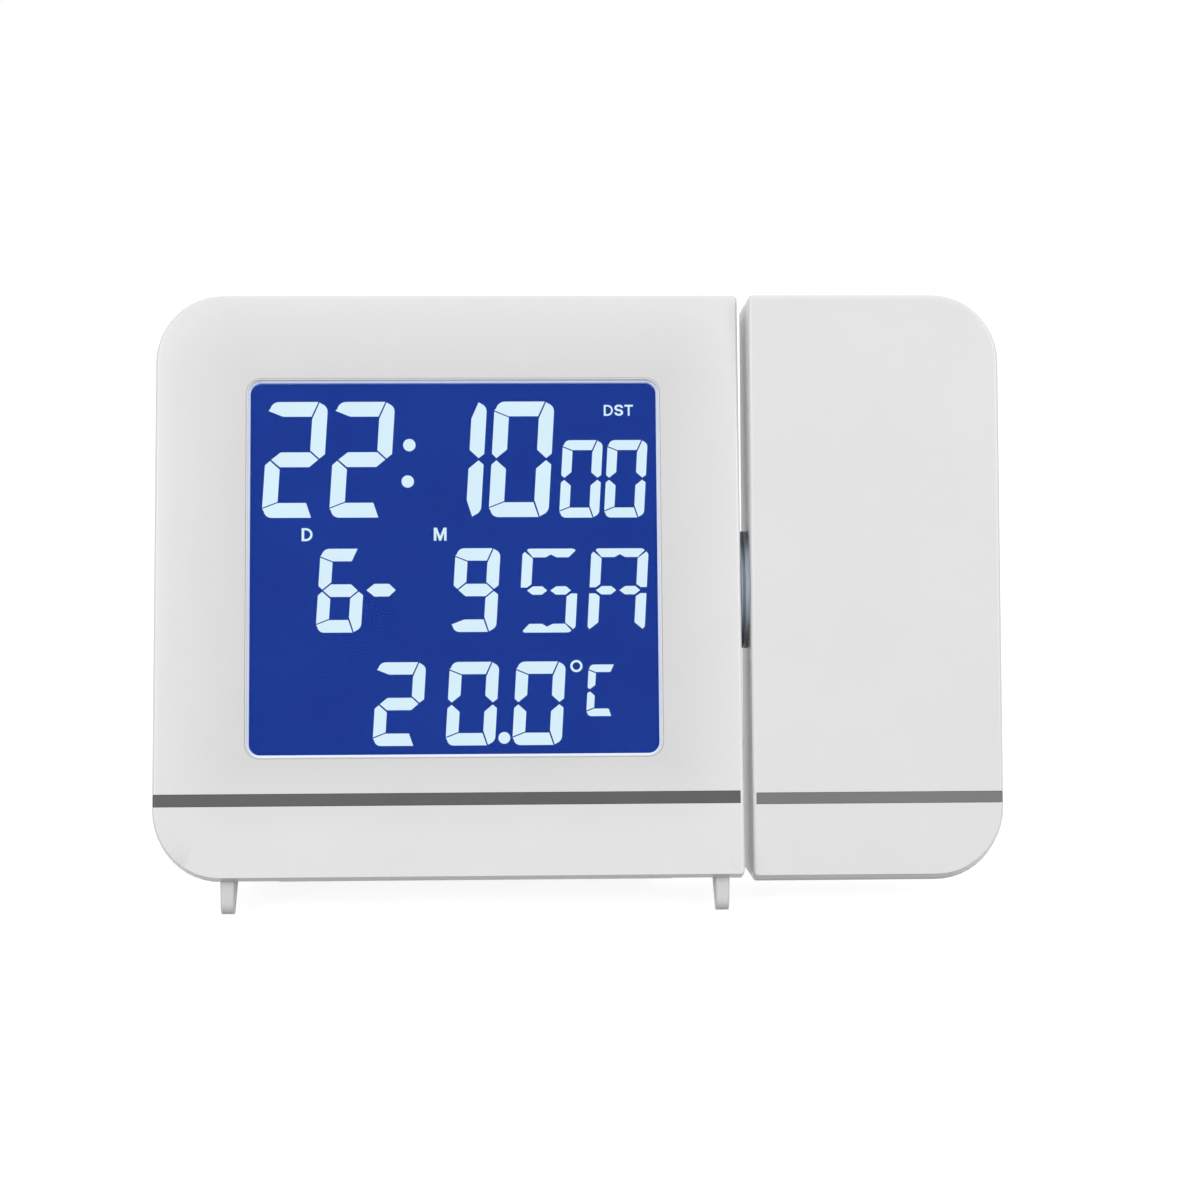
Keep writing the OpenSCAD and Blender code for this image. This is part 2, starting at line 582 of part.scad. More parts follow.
module battery_cells() color([0.2, 0.2, 0.22]) placed()
    for (i = [0, 1]) {
        nub = i == 0 ? [cell_l, cell_l + 1] : [-1, 0];
        start = i == 0 ? bay_x[0] + 2.8 : bay_x[1] - 2.8 - cell_l;
        rod_x([start, start + cell_l], cell_y, cell_z[i], cell_r);
        rod_x([start + nub[0], start + nub[1]], cell_y, cell_z[i], 2.7);
    }

// Conical springs press on the flat ends, as stacks of rings joined by a core
module battery_springs() color(steel) placed()
    for (i = [0, 1]) {
        x = i == 0 ? bay_x[0] + 0.4 : bay_x[1] - 2.8;
        for (k = [0 : 2]) translate([x + 0.5 + 0.7 * k, cell_y, cell_z[i]]) rotate([0, 90, 0])
            rotate_extrude() translate([i == 0 ? 4.6 - 0.7 * k : 3.2 + 0.7 * k, 0]) circle(0.4, $fn = 24);
        rod_x([x, x + 2.4], cell_y, cell_z[i] + 3.9, 0.35);
    }

module battery_plates() color(steel) placed() {
    block([bay_x[0], bay_x[0] + 0.4], [18, 31], [6, 33.4]);
    block([bay_x[1] - 0.4, bay_x[1]], [18, 31], [6, 33.4]);
}

module heel_pad() color([0.25, 0.25, 0.26]) placed()
    translate([(body_w - pad_w) / 2, heel_y, 0]) rotate([lean, 0, 0])
        translate([0, pad_start, -pad_t]) linear_extrude(pad_t) panel(pad_w, pad_l, 1.2, 1.2);

// ---- feet ----

// A fin in side view, in Y and Z, that narrows to a round toe
function foot_side() = concat(
    [[foot_depth[0], foot_pin_z + foot_t], [foot_depth[1], foot_pin_z + foot_t], [foot_depth[1], 0.3],
     [foot_depth[1] - 1.8, -0.5]],
    arc([toe_y, -toe_z], toe_r, lean - 50, lean - 194, 18));

// The same fin in front view: a round knuckle over sides that taper downwards
function foot_front() = concat(
    arc([0, 0], foot_t / 2, 0, 180, 18), [[0.2 - foot_t / 2, -9], [foot_t / 2 - 0.2, -9]]);

module foot(x) color([0.88, 0.88, 0.88]) placed() difference() {
    intersection() {
        translate([x - foot_t, 0, 0]) rotate([90, 0, 90]) linear_extrude(2 * foot_t) polygon(foot_side());
        slab([0, 20]) translate([x, foot_pin_z]) polygon(foot_front());
    }
    rod_y(x, [0, 20], foot_pin_z, 0.8 + running);
}
module left_foot() foot(left_foot_x);
module right_foot() foot(right_foot_x);

module foot_pins() color(steel) placed()
    for (x = [left_foot_x, right_foot_x]) rod_y(x, [1.4, foot_depth[1] + 1.2], foot_pin_z, 0.8);

// ---- swivel joint, drawn in the projector's frame ----

axis_z = pivot_z - proj_z;

module swivel_hub() color([0.25, 0.26, 0.28]) swivelled() difference() {
    union() {
        rod_x([-gap + 0.3, 0], axis_y, axis_z, hub_r);
        rod_x([-gap - 7.4, wall + 3], axis_y, axis_z, spindle_r);
    }
    rod_x([-gap - 8, wall + 4], axis_y, axis_z, spindle_bore_r);
}

module ring_x(x, outer_r, bore_r) difference() {
    rod_x(x, axis_y, axis_z, outer_r);
    rod_x([x[0] - 1, x[1] + 1], axis_y, axis_z, bore_r);
}

module hub_nut() color(steel) swivelled() difference() {
    translate([wall, axis_y, axis_z]) rotate([0, 90, 0]) cylinder(h = 2.6, r = 7, $fn = 6);
    rod_x([wall - 1, wall + 4], axis_y, axis_z, spindle_r);
}

module wave_washer() color(steel) swivelled() ring_x([-gap - 5.4, -gap - 5.1], 6, spindle_r + 0.2);

module hub_retainer() color(steel) swivelled() ring_x([-gap - 6.9, -gap - 5.5], 6.6, spindle_r);

// ---- projector ----

module projector_housing() color(white_abs) swivelled() difference() {
    union() {
        difference() {
            soft_block(proj_w, proj_h, gap_corner_r, corner_r, [proj_y, shell_d], edge_r, 0);
            slab([proj_y + wall, shell_d + 1])
                inset_panel(proj_w, proj_h, gap_corner_r, corner_r, wall);
        }
        for (p = proj_bosses) rod_y(p[0], [proj_y + wall - 0.5, shell_d - 0.1], p[1], 2.6);
    }
    stripe_space(proj_w, proj_w, 0.6, -1, proj_y, proj_stripe);
    rod_x([-1, wall + 1], axis_y, axis_z, spindle_r + running);
    for (p = proj_bosses) rod_y(p[0], [7, shell_d + 1], p[1], 1.15);
}

module projector_trim_strip() color(trim_grey) swivelled() intersection() {
    soft_block(proj_w, proj_h, gap_corner_r, corner_r, [proj_y, shell_d], edge_r, 0);
    stripe_space(proj_w, proj_w, 0.6, -1, proj_y, proj_stripe);
}

lens_x = proj_w / 2;
cover_back = proj_y + proj_d;

module projector_cover() color(white_abs) swivelled() difference() {
    union() {
        difference() {
            soft_block(proj_w, proj_h, gap_corner_r, corner_r, [shell_d, cover_back], 0, cover_back - shell_d - 0.3);
            slab([shell_d - 1, cover_back - wall])
                inset_panel(proj_w, proj_h, gap_corner_r, corner_r, wall);
        }
        for (p = proj_bosses) rod_y(p[0], [shell_d, cover_back - 1], p[1], 3);
    }
    rod_y(lens_x, [shell_d - 1, cover_back + 1], lens_z, 11.8);
    for (p = proj_bosses) {
        rod_y(p[0], [shell_d - 1, cover_back + 1], p[1], 1.4);
        rod_y(p[0], [cover_back - 1.8, cover_back + 1], p[1], 2.5);
    }
}

module projector_screws() color(steel) swivelled()
    for (p = proj_bosses) screw_y(p[0], [cover_back - 1.8, cover_back - 0.3], p[1], 2.3, 1.15, 11);

module projector_board() color(board_green) swivelled() {
    block([4.5, proj_w - 4.5], [4.2, 5.8], [13, 23]);
    block([lens_x - 8.8, lens_x + 8.8], [4.2, 18.2], [24, 25.6]);
    block([lens_x - 5, lens_x + 5], [4.2, 5.8], [22.9, 24.1]);
}

module projector_led() color([0.95, 0.95, 0.98]) swivelled() {
    rod_z(lens_x, 10.8, [25.6, 27.2], 2.9);
    rod_z(lens_x, 10.8, [27.1, 31], 2.5);
    translate([lens_x, 10.8, 31]) sphere(r = 2.5, $fn = 32);
}

// A square chimney that holds the condenser, the small display and the mirror
frame_x = [proj_w / 2 - 9, proj_w / 2 + 9];
module optics_frame() color([0.1, 0.1, 0.1]) swivelled() difference() {
    union() {
        difference() {
            block(frame_x, [3.4, 18.3], [25.6, 90]);
            block([frame_x[0] + 1.5, frame_x[1] - 1.5], [4.9, 16.8], [25, 88.5]);
        }
        for (z = [36, 44.4]) difference() {
            block([frame_x[0] + 1, frame_x[1] - 1], [4.5, 17.2], [z, z + 1.2]);
            rod_z(lens_x, 10.8, [z - 1, z + 2], 5.4);
        }
    }
    rod_y(lens_x, [16, 20], lens_z, 7.1);
}

// Condenser lens, small display, mirror and objective lens
module projector_optics() color([0.8, 0.88, 0.95, 0.7]) swivelled() {
    intersection() {
        rod_z(lens_x, 10.8, [37.2, 41], 5.8);
        translate([lens_x, 10.8, 31.6]) sphere(r = 9.4);
    }
    block([lens_x - 7.2, lens_x + 7.2], [5.2, 16.5], [45.6, 47.2]);
    translate([lens_x, 10.8, lens_z]) rotate([45, 0, 0]) translate([-7.2, -7.2, 0]) cube([14.4, 14.6, 1.1]);
}

module lens_barrel() color([0.12, 0.12, 0.13]) swivelled() {
    difference() {
        rod_y(lens_x, [17.6, 25], lens_z, 6.9);
        rod_y(lens_x, [17, 26], lens_z, 5.6);
    }
    intersection() {
        rod_y(lens_x, [19.4, 24.2], lens_z, 5.6);
        translate([lens_x, 10.2, lens_z]) sphere(r = 13.8);
        translate([lens_x, 33.4, lens_z]) sphere(r = 13.8);
    }
}

module focus_ring() color([0.3, 0.3, 0.31]) swivelled() difference() {
    union() {
        rod_y(lens_x, [18.7, 19.8], lens_z, 12.6);
        rod_y(lens_x, [19.7, 26.2], lens_z, 11.4);
    }
    rod_y(lens_x, [18, 27], lens_z, 7.15);
    for (a = [0 : 10 : 350]) rod_y(lens_x + 11.7 * cos(a), [cover_back + 0.6, 27], lens_z + 11.7 * sin(a), 0.6);
}

front_housing();
body_trim_strip();
display_window();
lcd_segments();
lcd_front_glass();
lcd_rear_glass();
diffuser_film();
light_guide();
reflector_film();
lcd_holder();
contact_strips();
backlight_leds();
main_board();
chip_blob();
quartz_crystal();
receiver_board();
ferrite_rod();
antenna_coil();
buzzer();
temperature_sensor();
dc_jack();
dc_jack_pin();
harness_plug();
projector_wires();
snooze_switch();
snooze_bar();
key_board();
key_domes();
mode_key();
alarm_key();
up_key();
down_key();
wave_key();
slide_switch();
switch_knob();
rear_cover();
battery_door();
battery_cells();
battery_springs();
battery_plates();
cover_screws();
board_screws();
heel_pad();
left_foot();
right_foot();
foot_pins();
swivel_hub();
hub_nut();
wave_washer();
hub_retainer();
projector_housing();
projector_trim_strip();
projector_cover();
projector_board();
projector_led();
optics_frame();
projector_optics();
lens_barrel();
focus_ring();
projector_screws();
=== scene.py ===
# %% [markdown]
# # A projection alarm clock
#
# This lesson dresses a working model of a desk clock. The model already holds every part at its real
# size: a display body that leans back on two small feet and a heel, and a projector that turns on a hub
# at its right side. Here the visible parts get fine moulded shapes, and every part gets its finish.
#
# We first load the fixed frame, and keep its box, because nothing that we add may grow past it.

# %% Load the frame
import bmesh
import bpy
import json
from math import cos, pi, radians, sin, sqrt
from mathutils import Matrix, Vector


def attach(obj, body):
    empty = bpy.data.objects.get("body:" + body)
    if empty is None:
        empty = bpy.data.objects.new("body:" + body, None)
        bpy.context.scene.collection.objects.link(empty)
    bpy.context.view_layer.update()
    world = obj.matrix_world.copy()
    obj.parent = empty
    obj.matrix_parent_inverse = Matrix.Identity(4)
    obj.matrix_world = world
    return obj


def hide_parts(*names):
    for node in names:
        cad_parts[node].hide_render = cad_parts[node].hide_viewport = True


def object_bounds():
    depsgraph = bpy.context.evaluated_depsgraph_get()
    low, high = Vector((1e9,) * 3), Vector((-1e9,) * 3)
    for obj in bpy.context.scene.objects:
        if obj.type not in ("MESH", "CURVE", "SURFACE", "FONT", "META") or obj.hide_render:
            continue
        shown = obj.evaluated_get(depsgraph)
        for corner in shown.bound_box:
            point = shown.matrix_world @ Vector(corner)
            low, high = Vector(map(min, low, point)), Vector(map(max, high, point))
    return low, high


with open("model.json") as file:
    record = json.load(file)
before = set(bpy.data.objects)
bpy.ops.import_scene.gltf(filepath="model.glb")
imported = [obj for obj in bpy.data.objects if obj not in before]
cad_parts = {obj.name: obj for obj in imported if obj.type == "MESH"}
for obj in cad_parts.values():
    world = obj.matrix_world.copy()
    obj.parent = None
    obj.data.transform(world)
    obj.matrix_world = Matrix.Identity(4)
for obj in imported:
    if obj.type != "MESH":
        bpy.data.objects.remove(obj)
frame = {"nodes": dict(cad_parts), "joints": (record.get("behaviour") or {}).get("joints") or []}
cad_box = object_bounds()
scene = bpy.context.scene
scene.view_settings.view_transform = "Standard"
print("nodes:", len(frame["nodes"]), "box:", [tuple(round(v, 4) for v in c) for c in cad_box])

# %% [markdown]
# ## Two tilted drawing boards
#
# The body leans back, and the projector leans a little less. Modelling a bezel in tilted coordinates
# would be hard to read, so each of the two gets its own drawing board: a matrix that takes millimetres,
# measured from the lower left front corner of a housing, to metres in the room. The joints tell us which
# way each board faces: the battery door lifts straight off the body, and the focus ring turns about the
# projector's depth.

# %% Drawing boards
joint_axis = {joint["name"]: Vector(joint["axis"]) for joint in frame["joints"]}
MM = 0.001


def drawing_board(depth, housing):
    right = Vector((1, 0, 0))
    depth = depth.normalized()
    up = right.cross(depth)
    to_room = Matrix((right, depth, up)).transposed()
    corners = [to_room.transposed() @ v.co for v in frame["nodes"][housing].data.vertices]
    origin = to_room @ Vector([min(c[i] for c in corners) for i in range(3)])
    return Matrix.Translation(origin) @ to_room.to_4x4() @ Matrix.Scale(MM, 4)


BODY = drawing_board(joint_axis["door_lift_off"], "front_housing")
PROJECTOR = drawing_board(joint_axis["focus_turn"], "projector_housing")


def span(node, board):
    """Lowest and highest corner of a node in a board's millimetres."""
    back = board.inverted()
    points = [back @ v.co for v in frame["nodes"][node].data.vertices]
    return [Vector([pick(p[i] for p in points) for i in range(3)]) for pick in (min, max)]


def centre(node, board):
    low, high = span(node, board)
    return (low + high) / 2


BODY_W, SHELL_D, BODY_H = span("front_housing", BODY)[1]
PROJ_W, PROJ_SHELL_D, PROJ_H = span("projector_housing", PROJECTOR)[1]
print("body", round(BODY_W, 2), round(BODY_H, 2), "projector", round(PROJ_W, 2), round(PROJ_H, 2))

# %% [markdown]
# ## Camera
#
# A product view like this one uses a long lens at arm's length, so that upright edges stay nearly
# parallel. The camera aims at a point on the front face and is turned about the three axes of the body's
# board. Its distance matters: it sets how much of the projector's inner side the gap shows.

# %% Camera
AIM = (76.27, 0, 46.68)
DISTANCE = 460.0
YAW, PITCH, ROLL = radians(-2.183), radians(-6.37), radians(-0.52)
FOCAL_PIXELS, FRAME_PIXELS, SENSOR = 2677.8, 1200, 36.0

turn = Matrix.Rotation(YAW, 4, "Z") @ Matrix.Rotation(pi / 2 - PITCH, 4, "X") @ Matrix.Rotation(ROLL, 4, "Z")
camera = bpy.data.objects.new("camera", bpy.data.cameras.new("camera"))
camera.data.sensor_width = SENSOR
camera.data.lens = SENSOR * FOCAL_PIXELS / FRAME_PIXELS
camera.data.clip_start = 0.01
place = BODY @ Matrix.Translation(AIM) @ turn @ Matrix.Translation((0, 0, DISTANCE))
# The board's matrix also scales millimetres to metres, and a camera keeps no scale.
camera.matrix_world = Matrix.LocRotScale(place.translation, place.to_quaternion(), None)
scene.collection.objects.link(camera)
scene.camera = camera
print("lens", round(camera.data.lens, 2), "mm at", tuple(round(v, 3) for v in camera.location))

# %% [markdown]
# ## Rings and lofts
#
# Nearly every moulded part here is a stack of rounded rectangles. A ring is one rounded rectangle with as
# many points as every other ring, so two rings can be joined point by point with quads. Stacking rings
# that shrink along a quarter circle gives a soft edge that is really in the mesh, where a shading trick
# would vanish in profile.

# %% Rings and lofts
CORNER_STEPS, MERGE = 12, 0.0005
FLAT_BORDER = 0.4  # a narrow flat ring inside a rounded edge keeps a large face's shading even


def widen(pair, by):
    return (pair[0] - by, pair[1] + by)


def rounded(u, v, r_left, r_right):
    """A rounded rectangle as (u, v) points, anticlockwise from its lower right corner."""
    corners = [(u[1] - r_right, v[0] + r_right, r_right, -90), (u[1] - r_right, v[1] - r_right, r_right, 0),
               (u[0] + r_left, v[1] - r_left, r_left, 90), (u[0] + r_left, v[0] + r_left, r_left, 180)]
    points = []
    for cu, cv, r, start in corners:
        for i in range(CORNER_STEPS + 1):
            a = radians(start + 90 * i / CORNER_STEPS)
            points.append((cu + r * cos(a), cv + r * sin(a)))
    return points


def upright(points, y):
    return [(u, y, v) for u, v in points]


def lying(points, z):
    return [(u, v, z) for u, v in points]


def upright_ring(x, z, r, y):
    return upright(rounded(x, z, r, r), y)


def lying_ring(x, y, r, z):
    return lying(rounded(x, y, r, r), z)


def mesh_piece(name, points, faces):
    mesh = bpy.data.meshes.new(name)
    mesh.from_pydata(points, [], faces)
    piece = bpy.data.objects.new(name, mesh)
    scene.collection.objects.link(piece)
    clean(piece)
    return piece


def clean(piece):
    b = bmesh.new()
    b.from_mesh(piece.data)
    bmesh.ops.remove_doubles(b, verts=b.verts, dist=MERGE)
    bmesh.ops.dissolve_degenerate(b, edges=b.edges, dist=MERGE)
    bmesh.ops.recalc_face_normals(b, faces=b.faces)
    b.to_mesh(piece.data)
    b.free()


def loft(name, rings, closed=False):
    """Joins rings with quads. The two ends get caps, or meet each other when closed."""
    count = len(rings[0])
    points = [p for ring in rings for p in ring]
    faces = []
    for i in range(len(rings) if closed else len(rings) - 1):
        here, there = i * count, (i + 1) % len(rings) * count
        for j in range(count):
            k = (j + 1) % count
            faces.append((here + j, here + k, there + k, there + j))
    if not closed:
        faces.append(tuple(reversed(range(count))))
        faces.append(tuple(range(len(points) - count, len(points))))
    return mesh_piece(name, points, faces)


def quarter(radius, steps=6):
    """Insets and depths along a rounded edge, from the flat face to the side."""
    return [(radius * (1 - sin(a)), radius * (1 - cos(a)))
            for a in (pi / 2 * i / steps for i in range(steps + 1))]


# %% [markdown]
# ## Turned parts, cuts and joins
#
# Hubs, lenses and knobs are turned: a profile swept about an axis. Holes and grooves are cut with exact
# booleans while a part is still on its drawing board, in millimetres, where the numbers are near one and
# the solver is at its best. The cutters carry a small flare where they leave the surface, so that every
# hole gets the broken edge of a moulded part.

# %% Turned parts, cuts and joins
TURN_STEPS, DRILL_STEPS = 96, 48
PAST = 0.02  # how far beyond the surface a cutter's flare ends


def lathe(name, profile, centre, along="Y", closed=True, ripple=None, steps=TURN_STEPS):
    """Sweeps (distance, radius) points about a line through centre, parallel to Y or X."""
    rings = []
    for d, r in profile:
        ring = []
        for i in range(steps):
            a = 2 * pi * i / steps
            rr = ripple(a, d, r) if ripple else r
            if along == "Y":
                ring.append((centre[0] + rr * cos(a), centre[1] + d, centre[2] + rr * sin(a)))
            else:
                ring.append((centre[0] + d, centre[1] + rr * cos(a), centre[2] + rr * sin(a)))
        rings.append(ring)
    return loft(name, rings, closed)


def combine(piece, others, operation):
    for other in others:
        step = piece.modifiers.new("combine", "BOOLEAN")
        step.operation, step.object, step.solver = operation, other, "EXACT"
        bpy.context.view_layer.update()
        result = bpy.data.meshes.new_from_object(piece.evaluated_get(bpy.context.evaluated_depsgraph_get()))
        piece.modifiers.clear()
        piece.data = result
        bpy.data.objects.remove(other)
    clean(piece)
    return piece


def cut(piece, *cutters):
    return combine(piece, cutters, "DIFFERENCE")


def join(piece, *others):
    return combine(piece, others, "UNION")


def block(x, y, z):
    plan = ((x[0], y[0]), (x[1], y[0]), (x[1], y[1]), (x[0], y[1]))
    return loft("block", [lying(plan, height) for height in z])


def drill(x, z, r, y, face, flare=0.25):
    """A round cutter along Y that widens where it leaves the surface at depth face."""
    out, wide = max(y[1], face + flare + 0.5), r + flare
    profile = [(y[0], 0), (y[0], r), (face - flare, r), (face + PAST, wide), (out, wide), (out, 0)]
    return lathe("drill", profile, (x, 0, z), closed=False, steps=DRILL_STEPS)


def slot_cutter(x, z, r, y, face, flare=0.25):
    """A rounded rectangular cutter along Y with the same flare."""
    def ring(by, depth):
        return upright_ring(widen(x, by), widen(z, by), r + by, depth)
    return loft("slot", [ring(0, y[0]), ring(0, face - flare), ring(flare, face + PAST), ring(flare, y[1])])


# %% [markdown]
# ## Setting a piece in place
#
# A finished piece leaves its drawing board for the room, is smoothed except across real edges, takes its
# material, and is told which moving body it rides on. The plain parts that it stands for are hidden.

# %% Setting a piece in place
SHARP_ANGLE = 32


def smooth(mesh):
    mesh.polygons.foreach_set("use_smooth", [True] * len(mesh.polygons))
    mesh.set_sharp_from_angle(angle=radians(SHARP_ANGLE))


def settle(piece, board, body, material, replaced=()):
    piece.data.transform(board)
    smooth(piece.data)
    piece.data.materials.clear()
    piece.data.materials.append(material)
    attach(piece, body)
    if replaced:
        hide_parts(*replaced)
    print(piece.name, "faces", len(piece.data.polygons))
    return piece


# %% [markdown]
# ## Finishes
#
# One small recipe makes most of the finishes: noise that shifts the colour a little, noise that shifts
# the roughness, and a fine grain for the bump. What changes between a moulded shell, a rubber pad and a
# steel screw is the scale and the strength of each. Colours are given as people read them off a swatch,
# and turned into light with the usual curve.

# %% Finishes
def light(*swatch):
    """Turns a 0 to 255 swatch into a linear colour."""
    def channel(c):
        c = c / 255
        return c / 12.92 if c <= 0.04045 else ((c + 0.055) / 1.055) ** 2.4
    return (*[channel(c) for c in swatch], 1.0)


def lighter(swatch, by=3):
    return [min(255, c + by) for c in swatch]


def node_tree(name):
    material = bpy.data.materials.new(name)
    material.use_nodes = True
    tree = material.node_tree
    return material, tree, tree.nodes["Principled BSDF"]


def dial(node, **sockets):
    """Sets sockets by name, with an underscore for each space."""
    for socket, value in sockets.items():
        node.inputs[socket.replace("_", " ")].default_value = value


def noise(tree, scale, detail=3.0):
    place = tree.nodes.new("ShaderNodeTexCoord")
    texture = tree.nodes.new("ShaderNodeTexNoise")
    dial(texture, Scale=scale, Detail=detail)
    tree.links.new(place.outputs["Object"], texture.inputs["Vector"])
    return texture.outputs["Fac"]


def blend_colours(tree, factor, low, high, spread=(0.3, 0.7)):
    ramp = tree.nodes.new("ShaderNodeValToRGB")
    ramp.color_ramp.elements[0].position, ramp.color_ramp.elements[1].position = spread
    ramp.color_ramp.elements[0].color, ramp.color_ramp.elements[1].color = low, high
    tree.links.new(factor, ramp.inputs["Fac"])
    return ramp.outputs["Color"]


def between(tree, factor, low, high):
    ramp = tree.nodes.new("ShaderNodeMapRange")
    dial(ramp, From_Min=0.3, From_Max=0.7, To_Min=low, To_Max=high)
    tree.links.new(factor, ramp.inputs["Value"])
    return ramp.outputs["Result"]


def finish(name, low, high, mottle=60, rough=(0.4, 0.5), grain=5000, bump=0.05, depth=0.00002, **sockets):
    """A finish with a mottled colour, an uneven gloss and a fine grain. Sizes are cycles per metre."""
    material, tree, shader = node_tree(name)
    colour = blend_colours(tree, noise(tree, mottle), light(*low), light(*high))
    tree.links.new(colour, shader.inputs["Base Color"])
    tree.links.new(between(tree, noise(tree, mottle * 4), *rough), shader.inputs["Roughness"])
    relief = tree.nodes.new("ShaderNodeBump")
    dial(relief, Strength=bump, Distance=depth)
    tree.links.new(noise(tree, grain, 2.0), relief.inputs["Height"])
    tree.links.new(relief.outputs["Normal"], shader.inputs["Normal"])
    dial(shader, **sockets)
    return material


WHITE = ((228, 228, 229), (230, 230, 231))
SHELL = {"rough": (0.255, 0.27), "grain": 3000, "bump": 0.02}
shell_white = finish("shell_white", *WHITE, **SHELL)
key_white = finish("key_white", (216, 217, 218), (221, 222, 223), rough=(0.35, 0.42), grain=9000, bump=0.08)
# The fins are the shell's white plastic, given a darker white as painted shade.
foot_white_painted_shade = finish("foot_white_painted_shade", (209, 209, 210), (214, 214, 215), rough=(0.38, 0.46), grain=7000, bump=0.08)
stripe_grey = finish("stripe_grey", (77, 78, 79), (81, 82, 83), rough=(0.4, 0.5), grain=9000, bump=0.1)
stripe_pale = finish("stripe_pale", (112, 113, 113), (116, 117, 117), rough=(0.4, 0.5), grain=9000, bump=0.1)
hub_grey = finish("hub_grey", (149, 159, 170), (154, 164, 175), rough=(0.28, 0.36), grain=4000, bump=0.03)
rubber = finish("rubber", (46, 46, 48), (56, 56, 58), rough=(0.75, 0.9), grain=4000, bump=0.4, depth=0.00005)
black_moulding = finish("black_moulding", (24, 24, 26), (32, 32, 34), rough=(0.45, 0.6), grain=6000,
                        bump=0.15)
steel = finish("steel", (176, 178, 181), (196, 198, 200), mottle=300, rough=(0.28, 0.4), grain=9000,
               bump=0.05, Metallic=1.0)
copper = finish("copper", (196, 110, 62), (212, 126, 76), mottle=900, rough=(0.28, 0.4), Metallic=0.9)
board_green = finish("board_green", (22, 84, 48), (30, 100, 58), mottle=150, rough=(0.3, 0.45), bump=0.1)
film_white = finish("film_white", (236, 236, 232), (242, 242, 240), rough=(0.5, 0.6), bump=0.03)
guide_clear = finish("guide_clear", (222, 232, 244), (232, 240, 250), rough=(0.1, 0.2), bump=0.02)
contact_pink = finish("contact_pink", (222, 160, 172), (232, 176, 186), rough=(0.6, 0.7), bump=0.1)
ferrite_black = finish("ferrite_black", (38, 38, 40), (52, 51, 52), mottle=400, rough=(0.6, 0.8), bump=0.4)
wire_red = finish("wire_red", (168, 26, 24), (186, 34, 30), rough=(0.35, 0.45), bump=0.05)
plug_ivory = finish("plug_ivory", (234, 230, 214), (240, 237, 224), rough=(0.4, 0.5), bump=0.05)
ring_grey = finish("ring_grey", (66, 67, 70), (76, 77, 80), rough=(0.4, 0.5), grain=7000, bump=0.15)
print("finishes:", len(bpy.data.materials))

# %% [markdown]
# ## The front bezel
#
# The bezel is the face of the clock: a wide satin frame round the display, big soft corners on the left
# and tight corners on the right, where it meets the projector. One closed loft makes the whole shell. It
# starts at the window's edge, runs across the face, round a small soft edge, back along the side, and
# returns along the inside wall. The face dips very slightly towards the window, as such frames do.

# %% The front bezel
WALL, EDGE_R, CORNER_R, GAP_CORNER_R = 2.2, 0.6, 11.6, 0.8
WINDOW_R, WINDOW_LIP, WINDOW_SEAT = 2.3, 0.9, 1.2
pane_low, pane_high = span("display_window", BODY)
SEAT_GROW = 1.15
WINDOW_X = (pane_low.x + SEAT_GROW, pane_high.x - SEAT_GROW)
WINDOW_Z = (pane_low.z + SEAT_GROW, pane_high.z - SEAT_GROW)
stripe_low, stripe_high = span("body_trim_strip", BODY)
STRIPE_Z = (stripe_low.z, stripe_high.z)
STRIPE_T, STRIPE_LIP = 0.7, 0.6
MIN_R = 0.3
BODY_CHIN, CHIN_DEPTH = (0.3, 0.95), 2.5


def chin(drops, y):
    """Height of a housing's underside at depth y: it dips behind the face, then rises to the seam."""
    at_face, at_lip = drops
    if y < CHIN_DEPTH:
        return -(at_face + (at_lip - at_face) * y / CHIN_DEPTH)
    return -at_lip * max(0, SHELL_D - y) / (SHELL_D - CHIN_DEPTH)


def body_ring(inset, y, bottom=None):
    low = inset if bottom is None else bottom
    return upright(rounded((inset, BODY_W - inset), (low, BODY_H - inset), max(CORNER_R - inset, MIN_R),
                           max(GAP_CORNER_R - inset, MIN_R)), y)


def window_ring(grow, y):
    return upright_ring(widen(WINDOW_X, grow), widen(WINDOW_Z, grow), WINDOW_R + grow, y)


def mix_rings(a, b, t, y):
    return [(p[0] + (q[0] - p[0]) * t, y, p[2] + (q[2] - p[2]) * t) for p, q in zip(a, b)]


def stripe_groove(width, outer, depth, z):
    """Cutters for a stripe across the front and back along the outer side."""
    lip = (-1, width - STRIPE_LIP) if outer == 0 else (STRIPE_LIP, width + 1)
    return [block(lip, (-1, STRIPE_T), z), block((outer - STRIPE_T, outer + STRIPE_T), (-1, depth + 1), z)]


DISH, LIP_R, FACE_STEPS, SEAM = 0.12, 0.3, 5, 0.15
inner_edge, outer_edge = window_ring(LIP_R, 0), body_ring(EDGE_R, 0, -BODY_CHIN[0])
rings = [window_ring(0, WINDOW_LIP)]
rings += [window_ring(LIP_R - d, DISH + i) for i, d in quarter(LIP_R, 4)[:0:-1]]
rings += [mix_rings(inner_edge, outer_edge, i / FACE_STEPS, DISH * (1 - i / FACE_STEPS) ** 2)
          for i in range(FACE_STEPS)]
rings += [body_ring(i, d, chin(BODY_CHIN, d)) for i, d in quarter(EDGE_R)]
rings += [body_ring(0, CHIN_DEPTH, -BODY_CHIN[1]), body_ring(0, SHELL_D - SEAM), body_ring(SEAM, SHELL_D)]
rings += [body_ring(WALL, SHELL_D), body_ring(WALL, WALL)]
rings += [window_ring(WINDOW_SEAT, WALL), window_ring(WINDOW_SEAT, WINDOW_LIP)]
bezel = loft("front_bezel", rings, closed=True)
print("bezel rings", len(rings))

# %% [markdown]
# The bezel's openings are cut next: the stripe's groove, the slot that the snooze bar drops into, the
# bore for the projector's hub, and under the front edge a shallow pocket for each folded foot. A pocket
# needs a roof first, so a block is joined on inside before the pocket is cut out of it.

